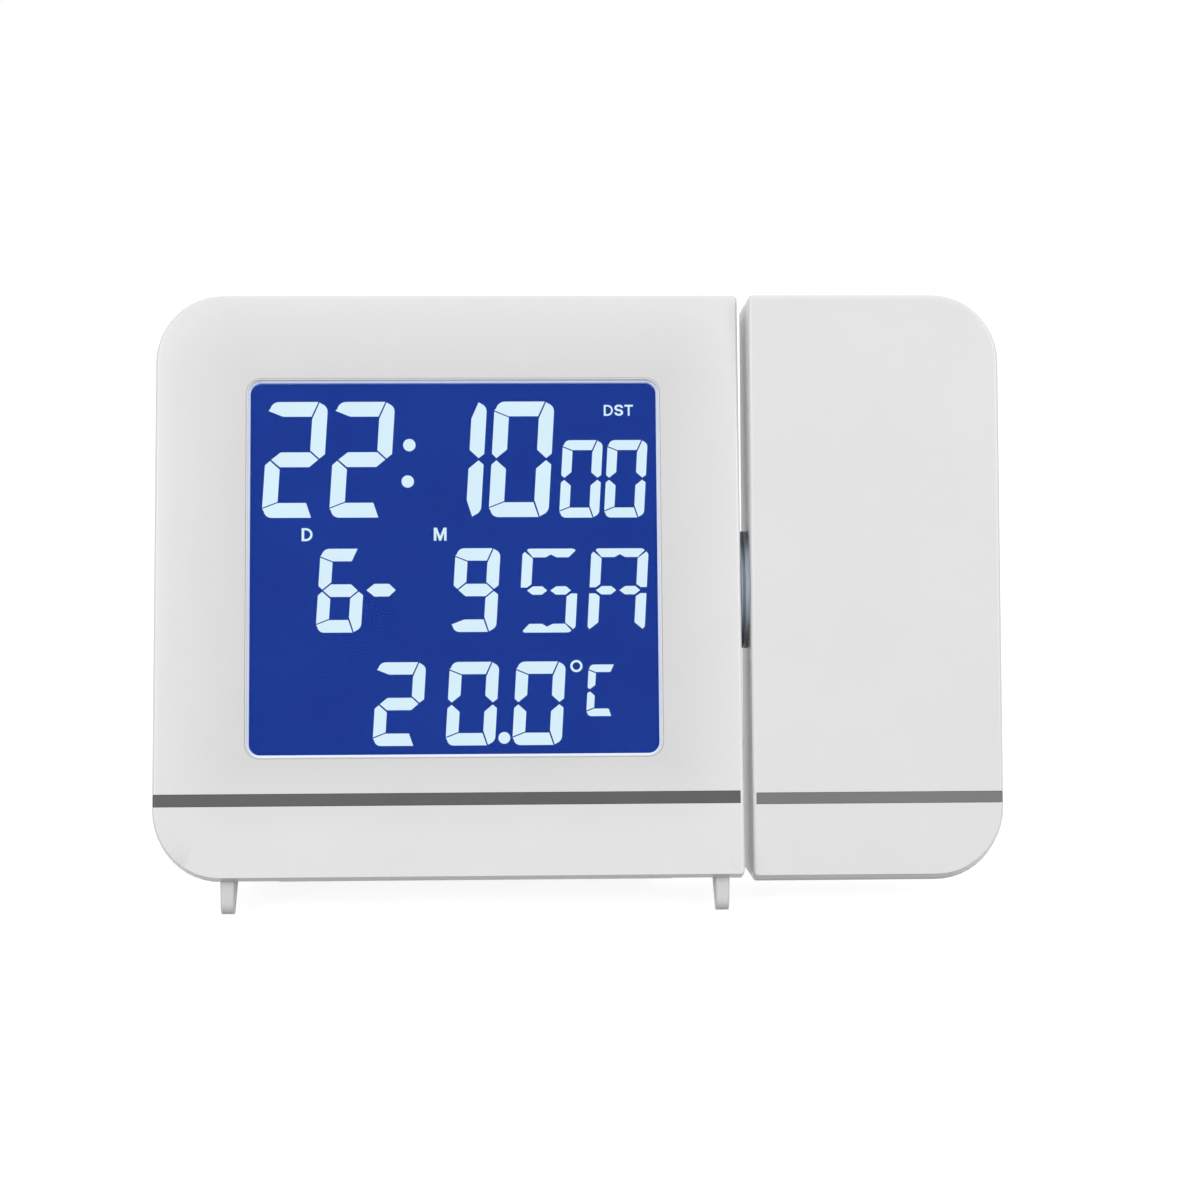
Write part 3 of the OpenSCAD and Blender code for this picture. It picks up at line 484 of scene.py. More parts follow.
# %% Openings in the bezel
SNOOZE_SLOT_X, SNOOZE_SLOT_Y, SLOT_R, SLOT_FLARE = (22, 78.6), (4.6, 14.2), 1.4, 0.3
SWIVEL_Y, SWIVEL_Z = centre("swivel_hub", BODY).yz
HUB_BORE_R = 4.66
POCKET_L, POCKET_TOP, POCKET_ROOF = 10.25, 3.4, 1.2


def snooze_slot():
    def ring(by, z):
        return lying_ring(widen(SNOOZE_SLOT_X, by), widen(SNOOZE_SLOT_Y, by), SLOT_R + by, BODY_H + z)
    return loft("snooze_slot", [ring(0, -4), ring(0, -SLOT_FLARE), ring(SLOT_FLARE, PAST), ring(SLOT_FLARE, 1)])


def pocket(foot, grow, top):
    low, high = span(foot, BODY)
    margin = 0.25 + grow
    length = POCKET_L + 2 * grow
    x = (low.x - margin, low.x - margin + length)
    if low.x > BODY_W / 2:
        x = (high.x + margin - length, high.x + margin)
    return block(x, (low.y - 0.3 - min(grow, 0.1), high.y + margin), (0.5 if grow else -1.5, top))


def side_bore(x, r, y, z):
    return lathe("side_bore", [(x[0], 0), (x[0], r), (x[1], r), (x[1], 0)], (0, y, z), "X", closed=False,
                 steps=DRILL_STEPS)


FEET = ("left_foot", "right_foot")
join(bezel, *[pocket(node, POCKET_ROOF, POCKET_TOP + POCKET_ROOF) for node in FEET])
cut(bezel, *stripe_groove(BODY_W, 0, SHELL_D, STRIPE_Z), snooze_slot(),
    *[pocket(node, 0, POCKET_TOP) for node in FEET],
    side_bore((BODY_W - 4, BODY_W + 1), HUB_BORE_R, SWIVEL_Y, SWIVEL_Z))

# %% [markdown]
# A white frame looks a little greyer towards a dark window, and the finish paints that shade into the
# colour: each point's place on the drawing board is stored as a UV pair, and the colour falls by a tenth over
# the last centimetre or so before the window. It is painted shade round the window's recess.

# %% The bezel's finish, with painted shade near the window
# Painted shade: the bezel's colour is multiplied down by about a tenth close to the window.
BEZEL_SHADE_REACH, SHADE_START, SHADE_NEAR_WINDOW = 14, 0.5, (0.885, 0.883, 0.88, 1)


def step(tree, operation, value, other=None):
    node = tree.nodes.new("ShaderNodeVectorMath")
    node.operation = operation
    tree.links.new(value, node.inputs[0])
    if other is not None:
        node.inputs[1].default_value = other
    return node.outputs["Value" if operation == "LENGTH" else "Vector"]


def shaded_bezel_finish():
    material = finish("bezel_white_painted_shade", *WHITE, **SHELL)
    tree = material.node_tree
    place = tree.nodes.new("ShaderNodeUVMap")
    place.uv_map = "board"
    middle = ((WINDOW_X[0] + WINDOW_X[1]) / 2, (WINDOW_Z[0] + WINDOW_Z[1]) / 2, 0)
    half = ((WINDOW_X[1] - WINDOW_X[0]) / 2, (WINDOW_Z[1] - WINDOW_Z[0]) / 2, 0)
    from_middle = step(tree, "ABSOLUTE", step(tree, "SUBTRACT", place.outputs["UV"], middle))
    outside = step(tree, "SUBTRACT", from_middle, half)
    distance = step(tree, "LENGTH", step(tree, "MAXIMUM", outside, (0, 0, 0)))
    ramp = tree.nodes.new("ShaderNodeMapRange")
    dial(ramp, From_Min=SHADE_START, From_Max=BEZEL_SHADE_REACH)
    tree.links.new(distance, ramp.inputs["Value"])
    # The painted shade: a ramp from the darker tone at the window to plain white further out.
    shade = blend_colours(tree, ramp.outputs["Result"], SHADE_NEAR_WINDOW, (1, 1, 1, 1), (0, 1))
    mix = tree.nodes.new("ShaderNodeMix")
    mix.data_type, mix.blend_type = "RGBA", "MULTIPLY"
    mix.inputs["Factor"].default_value = 1
    shader = tree.nodes["Principled BSDF"]
    tree.links.new(shader.inputs["Base Color"].links[0].from_socket, mix.inputs["A"])
    tree.links.new(shade, mix.inputs["B"])
    tree.links.new(mix.outputs["Result"], shader.inputs["Base Color"])
    return material


board_place = bezel.data.uv_layers.new(name="board")
for loop in bezel.data.loops:
    corner = bezel.data.vertices[loop.vertex_index].co
    board_place.data[loop.index].uv = (corner.x, corner.z)
settle(bezel, BODY, "clock_body", shaded_bezel_finish(), ["front_housing"])

# %% [markdown]
# ## The trim stripe
#
# A grey strip is let into the face and wraps round the outer side. It is one long L seen from above, so
# we draw that L once, at a chosen distance inside the shell's surface, and stack it: a thin chamfer, the
# flat strip, and a chamfer again. It sits a hair below the surface, which draws the fine line that a
# separate strip always shows.

# %% The trim stripe
SUNK_EDGE, SUNK_FACE, CHAMFER, BEND_STEPS = 0.14, 0.05, 0.1, 8


def stripe(name, width, height_span, depth, outer):
    def plan(sunk, z):
        points = [(sunk if outer == 0 else width - sunk, depth - sunk)]
        for i in range(BEND_STEPS + 1):
            a = pi / 2 * i / BEND_STEPS
            x = EDGE_R - (EDGE_R - sunk) * cos(a)
            points.append((x if outer == 0 else width - x, EDGE_R - (EDGE_R - sunk) * sin(a)))
        far = width - STRIPE_LIP if outer == 0 else STRIPE_LIP
        inner = STRIPE_T if outer == 0 else width - STRIPE_T
        points += [(far, sunk), (far, STRIPE_T), (inner, STRIPE_T), (inner, depth - sunk)]
        return [(x, y, z) for x, y in points]
    low, high = height_span
    return loft(name, [plan(SUNK_EDGE, low), plan(SUNK_FACE, low + CHAMFER), plan(SUNK_FACE, high - CHAMFER),
                       plan(SUNK_EDGE, high)])


body_stripe = stripe("body_stripe", BODY_W, STRIPE_Z, SHELL_D, 0)
settle(body_stripe, BODY, "clock_body", stripe_grey, ["body_trim_strip"])

# %% [markdown]
# ## The display
#
# A backlit negative display is a dark blue field with clear segments, so both shine: the field with a
# deep blue, the segments with a cold white. We give them emission, because that is what they are. The
# field falls off in its last 0.7 mm, where the light guide ends, and a colour stored on the mesh's points
# says how close each point is to that edge. The segments are the working model's own solids.

# %% The lit display
FIELD_FADE = 0.7


def glow(name, colour, strength, rough=0.4):
    material, tree, shader = node_tree(name)
    dial(shader, Base_Color=light(20, 24, 28), Roughness=rough, Specular_IOR_Level=0.0,
         Emission_Strength=strength)
    tree.links.new(blend_colours(tree, noise(tree, 90), light(*colour), light(*lighter(colour))),
                   shader.inputs["Emission Color"])
    return material


def field_finish():
    material, tree, shader = node_tree("blue_field")
    edge = tree.nodes.new("ShaderNodeAttribute")
    edge.attribute_name = "edge"
    mix = tree.nodes.new("ShaderNodeMix")
    mix.data_type = "RGBA"
    even = blend_colours(tree, noise(tree, 60), light(20, 52, 142), light(22, 55, 146))
    tree.links.new(edge.outputs["Fac"], mix.inputs["Factor"])
    tree.links.new(even, mix.inputs["A"])
    mix.inputs["B"].default_value = light(26, 47, 115)
    tree.links.new(mix.outputs["Result"], shader.inputs["Emission Color"])
    dial(shader, Base_Color=light(6, 9, 25), Roughness=0.5, Emission_Strength=1.0, Specular_IOR_Level=0.0)
    return material


glass_low, glass_high = span("lcd_front_glass", BODY)


def field_panel():
    def border(y):
        return upright_ring((glass_low.x, glass_high.x), (glass_low.z, glass_high.z), 0.2, y)
    front = glass_low.y
    panel = loft("display_field", [window_ring(-FIELD_FADE, front), window_ring(-FIELD_FADE / 2, front),
                                   window_ring(0, front), border(front), border(glass_high.y)])
    edge = panel.data.color_attributes.new("edge", "FLOAT_COLOR", "POINT")
    for point, v in zip(edge.data, panel.data.vertices):
        inside = min(v.co.x - WINDOW_X[0], WINDOW_X[1] - v.co.x, v.co.z - WINDOW_Z[0], WINDOW_Z[1] - v.co.z)
        shade = 1 - min(1, max(0, inside / FIELD_FADE))
        point.color = (shade, shade, shade, 1)
    return panel


settle(field_panel(), BODY, "clock_body", field_finish(), ["lcd_front_glass"])
segment_glow = glow("segment_glow", (216, 239, 250), 1.0)

# %% [markdown]
# ## The window pane and its rim
#
# A clear pane covers the display. Light from the backlight shows as a fine pale line all round its border, and
# it is painted here as a glow: the pane is two pieces, a clear slab, and a slim frame of milky plastic that
# the slab sits in, whose lavender tint and faint emission are that painted glow.

# %% The window pane
RIM_W, PANE_BEVEL = 0.42, 0.1


def clear_plastic(name, tint, rough, ior):
    material, tree, shader = node_tree(name)
    tree.links.new(blend_colours(tree, noise(tree, 40), light(*tint), light(*lighter(tint))),
                   shader.inputs["Base Color"])
    dial(shader, Roughness=rough, IOR=ior, Transmission_Weight=1.0)
    return material


pane_clear = clear_plastic("pane_clear", (250, 251, 252), 0.02, 1.1)
# Painted glow: the rim's lavender tint and faint emission stand in for the backlight's spill on the edge.
rim_painted_glow = finish("rim_painted_glow", (219, 227, 237), (225, 233, 242), rough=(0.3, 0.4), bump=0.02,
                   Emission_Color=light(120, 134, 186), Emission_Strength=0.35)
pane = loft("window_pane", [window_ring(-RIM_W - PANE_BEVEL, pane_low.y),
                            window_ring(-RIM_W, pane_low.y + PANE_BEVEL), window_ring(-RIM_W, pane_high.y)])
settle(pane, BODY, "clock_body", pane_clear, ["display_window"])
rim = loft("window_rim", [window_ring(-RIM_W, pane_high.y), window_ring(-RIM_W, pane_low.y + PANE_BEVEL),
                          window_ring(-RIM_W + PANE_BEVEL, pane_low.y), window_ring(SEAT_GROW, pane_low.y),
                          window_ring(SEAT_GROW, pane_high.y)], closed=True)
settle(rim, BODY, "clock_body", rim_painted_glow)

# %% [markdown]
# ## Feet
#
# Two small fins fold out from under the front edge. Seen from the side, a fin narrows to a round toe;
# seen from the front, it tapers a little. We stack lying rings from the knuckle down to the toe, and work
# out each ring's depth from the fin's outline.

# %% Feet
FOOT_T, KNUCKLE_Z, TOE_R, TOE_ANGLE = 2.6, 1.7, 2.0, radians(36)
HEEL_TOP, HEEL_START, HEEL_IN, TAPER, FOOT_EDGE = 0.3, -0.5, 1.8, 0.2 / 9, 0.45
FOOT_HEIGHTS = (2.96, 2.83, 2.5, 1.7, 0.3, -0.5, -2, -3.4, -4.4, -5, -5.5, -5.9, -6.2, -6.34)


def foot(name, node, body):
    low, high = span(node, BODY)
    middle = (low.x + high.x) / 2
    toe_y, toe_z = low.y + TOE_R, low.z + TOE_R
    heel_end = (toe_y + TOE_R * cos(TOE_ANGLE), toe_z - TOE_R * sin(TOE_ANGLE))
    rings = []
    for z in FOOT_HEIGHTS:
        round_reach = sqrt(max(TOE_R ** 2 - (z - toe_z) ** 2, 0)) if z < toe_z else TOE_R
        front = toe_y - round_reach
        if z >= HEEL_START:
            back = high.y - HEEL_IN * max(0, HEEL_TOP - z) / (HEEL_TOP - HEEL_START)
        elif z >= heel_end[1]:
            t = (HEEL_START - z) / (HEEL_START - heel_end[1])
            back = high.y - HEEL_IN + (heel_end[0] - high.y + HEEL_IN) * t
        else:
            back = toe_y + round_reach
        half = FOOT_T / 2 - TAPER * max(0, KNUCKLE_Z - z)
        if z > KNUCKLE_Z:
            half = sqrt((FOOT_T / 2) ** 2 - (z - KNUCKLE_Z) ** 2)
        r = min(FOOT_EDGE, half * 0.9, (back - front) * 0.45)
        rings.append(lying_ring((middle - half, middle + half), (front, back), r, z))
    settle(loft(name, rings), BODY, body, foot_white_painted_shade, [node])


foot("foot_fin_left", "left_foot", "foot_l")
foot("foot_fin_right", "right_foot", "foot_r")

# %% [markdown]
# ## The rear cover
#
# The cover closes the shell with a generously rounded edge and carries the battery hump, whose underside
# is bevelled so that the clock can stand on it. Shell and hump are two lofts joined by a boolean, and
# everything that opens through them is cut afterwards.

# %% The rear cover
BACK_R = 5.0
cover_high = span("rear_cover", BODY)[1]
BODY_D = 24.0
HUMP_D = cover_high.y
HUMP_X = (14, BODY_W - 14)
lean = joint_axis["door_lift_off"].angle(Vector((0, 1, 0)))
HEEL_Y, ROUND_FROM, ROUND_RATE = 27.11, 33.2, 0.55


def hump_ring(y, top, side, r):
    """One section of the hump. Its underside rises with the clock's lean, and rounds off at the back."""
    bottom = max(0, y - HEEL_Y) * sin(lean) / cos(lean) + ROUND_RATE * max(0, y - ROUND_FROM) ** 2
    return upright_ring(widen(HUMP_X, -side), (bottom, top), r, y)


def cover_shell():
    back = [body_ring(i, BODY_D - d) for i, d in quarter(BACK_R, 10)][::-1]
    back.append(body_ring(BACK_R + FLAT_BORDER, BODY_D))
    rings = [body_ring(WALL, BODY_D - WALL), body_ring(WALL, SHELL_D), body_ring(SEAM, SHELL_D),
             body_ring(0, SHELL_D + SEAM)] + back
    return loft("rear_cover_shell", rings)


# Depth, height of the top, inset of the sides, and corner radius of each section.
HUMP_SECTIONS = [(18, 47, 0, 1.5), (22, 47, 0, 1.5), (HEEL_Y, 43.4, 0, 1.5), (31.4, 40.4, 0, 1.5),
                 (32.4, 39.6, 0.15, 1.6), (33.2, 38.8, 0.6, 1.8), (34, 37.9, 1.3, 2), (34.6, 37.1, 2.1, 2.2),
                 (HUMP_D - 0.08, 36.7, 2.7, 2.4), (HUMP_D, 36.4, 3, 2.5)]
cover = join(cover_shell(), loft("hump", [hump_ring(*section) for section in HUMP_SECTIONS]))
print("rear cover with hump:", len(cover.data.polygons), "faces")

# %% Openings in the rear cover
KEYS = {"mode_key": "mode", "alarm_key": "alarm", "up_key": "up", "down_key": "down", "wave_key": "wave"}
KEY_HALF_X, KEY_HALF_Z, KEY_R, KEY_GAP, KEY_HOLE_R = 4, 2.5, 2.45, 0.3, 2.7
SWITCH_SLOT_X, SWITCH_SLOT_Z, SWITCH_SLOT_R = (80.7, 88.3), (66.1, 69.9), 0.4
DOOR_X, (_, DOOR_Y), DOOR_Z = zip(*span("battery_door", BODY))
BAY_X, BAY_Z, BAY_FLOOR = (23.5, 77.1), (4.7, 34.6), 17.2
SCREW_HEAD_R, JACK_R, DOOR_T, DOOR_GAP = 2.7, 2.9, 1.45, 0.15
THROUGH = (20, BODY_D + 1)
screw_places = [(8.5, 9), (BODY_W - 8.6, 9), (7.6, BODY_H - 8.2), (BODY_W - 5.9, BODY_H - 6.8)]
BUZZER_X, BUZZER_Z, BUZZER_RING, SOUND_HOLE_R = 16.5, 50, 3.6, 0.8
VENTS, VENT_X, VENT_PITCH, VENT_Z, VENT_R, VENT_FLARE = 7, (34, 36), 5, (54, 60), 0.95, 0.2


def key_cutter(node):
    x, z = centre(node, BODY).xz
    return slot_cutter(widen((x, x), KEY_HALF_X + KEY_GAP), widen((z, z), KEY_HALF_Z + KEY_GAP), KEY_HOLE_R,
                       THROUGH, BODY_D)


cutters = [key_cutter(node) for node in KEYS]
cutters += [drill(x, z, SCREW_HEAD_R, (BODY_D - 2, BODY_D + 1), BODY_D) for x, z in screw_places]
cutters += [slot_cutter(SWITCH_SLOT_X, SWITCH_SLOT_Z, SWITCH_SLOT_R, THROUGH, BODY_D),
            drill(*centre("dc_jack", BODY).xz, JACK_R, THROUGH, BODY_D, 0.4),
            block(BAY_X, (BAY_FLOOR, HUMP_D + 1), BAY_Z),
            slot_cutter(widen(DOOR_X, DOOR_GAP), widen(DOOR_Z, DOOR_GAP), 1.3,
                        (HUMP_D - DOOR_T - 0.1, HUMP_D + 1), HUMP_D, 0.2)]
cutters += [slot_cutter([x + VENT_PITCH * i for x in VENT_X], VENT_Z, VENT_R, THROUGH, BODY_D, VENT_FLARE)
            for i in range(VENTS)]
cutters += [drill(BUZZER_X + r * cos(a), BUZZER_Z + r * sin(a), SOUND_HOLE_R, THROUGH, BODY_D, VENT_FLARE)
            for r, a in [(BUZZER_RING, pi / 3 * i) for i in range(6)] + [(0, 0)]]
cut(cover, *cutters)
settle(cover, BODY, "clock_body", shell_white, ["rear_cover"])

# %% [markdown]
# ## Battery door
#
# The door is a plate that drops into the hump's opening. Its edge is softened by a quarter circle of
# rings, and five shallow grooves under the thumb give grip.

# %% Battery door
DOOR_R, DOOR_EDGE = 1.2, 0.35
GRIPS, GRIP_X, GRIP_Z, GRIP_PITCH, GRIP_R, GRIP_DEPTH = 5, (44, 56.6), (26.5, 27.3), 1.6, 0.38, 0.4


def door_ring(i, y):
    return upright_ring(widen(DOOR_X, -i), widen(DOOR_Z, -i), max(DOOR_R - i, 0.2), y)


door_edge = [door_ring(i, DOOR_Y - d) for i, d in quarter(DOOR_EDGE, 5)][::-1]
door = loft("battery_door_panel", [door_ring(0, DOOR_Y - DOOR_T)] + door_edge
            + [door_ring(DOOR_EDGE + FLAT_BORDER, DOOR_Y)])
cut(door, *[slot_cutter(GRIP_X, [z + GRIP_PITCH * i for z in GRIP_Z], GRIP_R,
                        (DOOR_Y - GRIP_DEPTH, DOOR_Y + 1), DOOR_Y, 0.15) for i in range(GRIPS)])
settle(door, BODY, "door", shell_white, ["battery_door"])

# %% [markdown]
# ## Keys, switch and snooze bar
#
# The keys are small pills with crowned tops. Their heights follow a flat arc, so that each catches a
# highlight. The up and down keys carry a plus and a minus, sunk into the crown. The snooze bar on top is a
# long key of the same kind, with a shallow hollow for the finger.

# %% Keys
def crowned(name, low, high, r, crown, soft=0.35, reach=1.8):
    def ring(i, y):
        return upright_ring((low[0] + i, high[0] - i), (low[2] + i, high[2] - i), max(r - i, 0.15), y)
    top = high[1] - crown
    rings = [ring(0, low[1])] + [ring(i, top - d) for i, d in quarter(soft, 4)][::-1]
    rings += [ring(soft + s * reach, top + crown * (1 - (1 - s) ** 2)) for s in (0.2, 0.4, 0.6, 0.8, 1)]
    return loft(name, rings)


KEY_BASE, LEGEND_DEPTH, LEGEND_BAR, LEGEND_REACH = 20.7, 0.45, 0.3, 1.3


def key_cap(node, part):
    x, z = centre(node, BODY).xz
    top = span(node, BODY)[1].y
    cap = crowned(part + "_key_cap", (x - KEY_HALF_X, KEY_BASE, z - KEY_HALF_Z),
                  (x + KEY_HALF_X, top, z + KEY_HALF_Z), KEY_R, crown=0.25)
    sunk = (top - LEGEND_DEPTH, top + 1)
    across, along = (-LEGEND_BAR, LEGEND_BAR), (-LEGEND_REACH, LEGEND_REACH)
    if part in ("up", "down"):
        cut(cap, block([x + i for i in along], sunk, [z + i for i in across]))
    if part == "up":
        cut(cap, block([x + i for i in across], sunk, [z + i for i in along]))
    settle(cap, BODY, part, key_white, [node])


for node, part in KEYS.items():
    key_cap(node, part)

# %% Switch knob
KNOB_X, KNOB_Z, KNOB_BASE, KNOB_GRIP_X, KNOB_PITCH = (81, 85), (66.4, 69.6), 20.6, (81.9, 82.3), 0.8
knob_face = span("switch_knob", BODY)[1].y
knob = crowned("switch_knob_cap", (KNOB_X[0], KNOB_BASE, KNOB_Z[0]), (KNOB_X[1], knob_face, KNOB_Z[1]), 0.5,
               crown=0.1, soft=0.25, reach=0.8)
cut(knob, *[block([x + KNOB_PITCH * i for x in KNOB_GRIP_X], (knob_face - 0.3, knob_face + 1), (66, 70))
            for i in range(3)])
settle(knob, BODY, "switch", key_white, ["switch_knob"])

# %% Snooze bar
bar_top = span("snooze_bar", BODY)[1].z
BAR_X, BAR_Y, BAR_R = (22.3, 78.3), (4.9, 13.9), 1.2


def snooze():
    def ring(i, z):
        return lying_ring(widen(BAR_X, -i), widen(BAR_Y, -i), max(BAR_R - i, 0.2), z)
    rings = [ring(0, BODY_H - 2.6)] + [ring(i, bar_top - d) for i, d in quarter(0.4, 4)][::-1]
    rings += [ring(inset, bar_top - hollow) for inset, hollow in ((1, 0.02), (2, 0.14), (3, 0.2))]
    return loft("snooze_bar_cap", rings)


settle(snooze(), BODY, "snooze", key_white, ["snooze_bar"])

# %% [markdown]
# ## The projector's shell
#
# The projector is a narrow box with the same corners as the body, turned the other way: tight beside the
# gap, big on the outside. Its front shell is one loft that starts at the inside of the face, comes out
# over the rim and ends in the flat face. The rear cover is built in the same way and has a wide round
# opening for the focus ring.

# %% The projector's shell
PROJ_D = span("projector_cover", PROJECTOR)[1].y
COVER_R = 4.5
LENS = centre("focus_ring", PROJECTOR).xz
FOCUS_OPENING_R = 11.8
proj_screws = [(5, 6.8), (5, PROJ_H - 6.8), (PROJ_W - 9.2, 9.2), (PROJ_W - 9.2, PROJ_H - 9.2)]
PROJ_HEAD_R = 2.5
HUB_Y, HUB_Z = centre("swivel_hub", PROJECTOR).yz
PROJ_STRIPE_Z = [corner.z for corner in span("projector_trim_strip", PROJECTOR)]
PROJ_CHIN = (0.12, 1.2)


def proj_ring(inset, y, bottom=None):
    low = inset if bottom is None else bottom
    return upright(rounded((inset, PROJ_W - inset), (low, PROJ_H - inset), max(GAP_CORNER_R - inset, MIN_R),
                           max(CORNER_R - inset, MIN_R)), y)


def projector_shell():
    edge = [proj_ring(i, d, chin(PROJ_CHIN, d)) for i, d in quarter(EDGE_R)][::-1]
    edge.append(proj_ring(EDGE_R + FLAT_BORDER, 0, FLAT_BORDER - PROJ_CHIN[0]))
    return loft("projector_front", [proj_ring(WALL, WALL), proj_ring(WALL, PROJ_SHELL_D),
                                    proj_ring(SEAM, PROJ_SHELL_D), proj_ring(0, PROJ_SHELL_D - SEAM),
                                    proj_ring(0, CHIN_DEPTH, -PROJ_CHIN[1])] + edge)


SPINDLE_R = 4.6
shell = cut(projector_shell(), *stripe_groove(PROJ_W, PROJ_W, PROJ_SHELL_D, PROJ_STRIPE_Z),
            side_bore((-1, 4), SPINDLE_R, HUB_Y, HUB_Z))
settle(shell, PROJECTOR, "projector", shell_white, ["projector_housing"])

back_edge = [proj_ring(i, PROJ_D - d) for i, d in quarter(COVER_R, 10)][::-1]
back_edge.append(proj_ring(COVER_R + FLAT_BORDER, PROJ_D))
proj_cover = loft("projector_back", [proj_ring(WALL, PROJ_D - WALL), proj_ring(WALL, PROJ_SHELL_D),
                                     proj_ring(SEAM, PROJ_SHELL_D), proj_ring(0, PROJ_SHELL_D + SEAM)]
                  + back_edge)
cut(proj_cover, drill(*LENS, FOCUS_OPENING_R, (PROJ_SHELL_D - 1, PROJ_D + 1), PROJ_D, 0.4),
    *[drill(x, z, PROJ_HEAD_R, (PROJ_D - 1.8, PROJ_D + 1), PROJ_D) for x, z in proj_screws])
settle(proj_cover, PROJECTOR, "projector", shell_white, ["projector_cover"])

proj_stripe = stripe("projector_stripe", PROJ_W, PROJ_STRIPE_Z, PROJ_SHELL_D, PROJ_W)
settle(proj_stripe, PROJECTOR, "projector", stripe_pale, ["projector_trim_strip"])

# %% [markdown]
# ## The swivel hub
#
# A grey disc fills the gap between body and projector, on a hollow spindle that the projector's
# wires pass through. It is turned as one piece, with its edges broken and a groove round its rim.

# %% The swivel hub
hub_low, hub_high = span("swivel_hub", PROJECTOR)
HUB_R, SPINDLE_BORE_R, BREAK = (hub_high.z - hub_low.z) / 2, 2.8, 0.08
FLANGE_X, GROOVE_X, GROOVE_DEPTH, BEVEL = -1.6, (-1.36, -0.82), 0.6, 0.06
hub_profile = [(hub_low.x, SPINDLE_BORE_R), (hub_low.x, SPINDLE_R), (FLANGE_X, SPINDLE_R),
               (FLANGE_X, HUB_R - BREAK), (FLANGE_X + BREAK, HUB_R), (GROOVE_X[0], HUB_R),
               (GROOVE_X[0], HUB_R - GROOVE_DEPTH), (GROOVE_X[1], HUB_R - GROOVE_DEPTH),
               (GROOVE_X[1], HUB_R - BREAK), (GROOVE_X[1] + BREAK, HUB_R), (-BEVEL, HUB_R),
               (0, HUB_R - BEVEL), (0, SPINDLE_R), (hub_high.x, SPINDLE_R), (hub_high.x, SPINDLE_BORE_R)]
hub = lathe("swivel_disc", hub_profile, (0, HUB_Y, HUB_Z), "X")
settle(hub, PROJECTOR, "projector", hub_grey, ["swivel_hub"])

# %% [markdown]
# ## Focus ring and lens
#
# The ring stands out of the projector's back and is knurled so that a fingertip can turn it. A lathe
# with a ripple does this: the radius swells and shrinks with the angle, but only on the outer wall. A
# small pip shows how far it is turned. Inside sits a black barrel, stepped against stray light, and in it
# a glass lens with two curved faces.

# %% Focus ring
KNURLS, KNURL_DEPTH, PIP_R, PIP_Z = 36, 0.45, 0.55, 10.6
FOCUS_R, FOCUS_BORE_R, FLANGE_R, FLANGE_T, NECK_R = 12.1, 7.15, 12.6, 1.1, 11.4
flange_y, ring_face = [corner.y for corner in span("focus_ring", PROJECTOR)]


def knurl(angle, depth, radius):
    if radius < FOCUS_R - 0.7 or depth < PROJ_D + 0.6:
        return radius
    return radius - KNURL_DEPTH * (0.5 + 0.5 * cos(KNURLS * angle)) ** 2


neck = PROJ_D + 0.4
focus_profile = [(flange_y, FOCUS_BORE_R), (flange_y, FLANGE_R), (flange_y + FLANGE_T, FLANGE_R),
                 (flange_y + FLANGE_T, NECK_R), (neck, NECK_R), (neck + 0.3, FOCUS_R - 0.2),
                 (neck + 0.6, FOCUS_R), (ring_face - 0.5, FOCUS_R), (ring_face - 0.2, FOCUS_R - 0.15),
                 (ring_face - 0.05, FOCUS_R - 0.4), (ring_face, FOCUS_R - 0.9), (ring_face - 0.1, 9.6),
                 (ring_face - 1.2, 8.2), (ring_face - 1.3, FOCUS_BORE_R)]
focus = lathe("focus_ring_grip", focus_profile, (LENS[0], 0, LENS[1]), ripple=knurl, steps=KNURLS * 8)
pip = lathe("pip", [(ring_face - 0.5, 0), (ring_face - 0.5, PIP_R), (ring_face - 0.02, PIP_R), (ring_face, 0.4),
                    (ring_face, 0)], (LENS[0], 0, LENS[1] + PIP_Z), closed=False, steps=24)
join(focus, pip)
settle(focus, PROJECTOR, "focus", ring_grey, ["focus_ring"])

# %% Lens barrel and lens
barrel_low, barrel_high = span("lens_barrel", PROJECTOR)
BARREL_R = 6.9
face = barrel_high.y
steps_in = [(face, BARREL_R - 0.3), (face - 0.05, 6.2), (face - 0.6, 5.9), (face - 0.65, 5.6),
            (face - 1.6, 5.6), (face - 1.6, 5.2), (face - 5.5, 5.2), (barrel_low.y, 5.4)]
barrel = lathe("lens_barrel_tube", steps_in + [(barrel_low.y, BARREL_R), (face - 0.3, BARREL_R)],
               (LENS[0], 0, LENS[1]))
settle(barrel, PROJECTOR, "lens", black_moulding, ["lens_barrel"])

lens_glass = clear_plastic("lens_glass", (240, 246, 255), 0.0, 1.5)
LENS_R, LENS_BULGE = 5.18, 1.5
front_y, rear_y = face - 1.7 - LENS_BULGE, face - 4.2
crown = [(LENS_BULGE * (1 - (r / LENS_R) ** 2), r) for r in (0, 1, 2, 3, 4, LENS_R)]
lens_profile = [(front_y + d, r) for d, r in crown] + [(rear_y - d * 0.6, r) for d, r in reversed(crown)]
lens_piece = lathe("projection_lens", lens_profile, (LENS[0], 0, LENS[1]), closed=False)
settle(lens_piece, PROJECTOR, "lens", lens_glass)

# %% [markdown]
# ## Battery cells
#
# Lift the door and two cells show. Each is turned with a crimped shoulder and a nub, and wears a plain
# two-colour sleeve whose colour change is a band along its length.

# %% Battery cells
CELL_R, CELL_Y, CELL_L, END_ROOM = 7.15, 24.6, 49.2, 2.8
CELLS = ((12.2, BAY_X[0] + END_ROOM, 1), (27.1, BAY_X[1] - END_ROOM, -1))


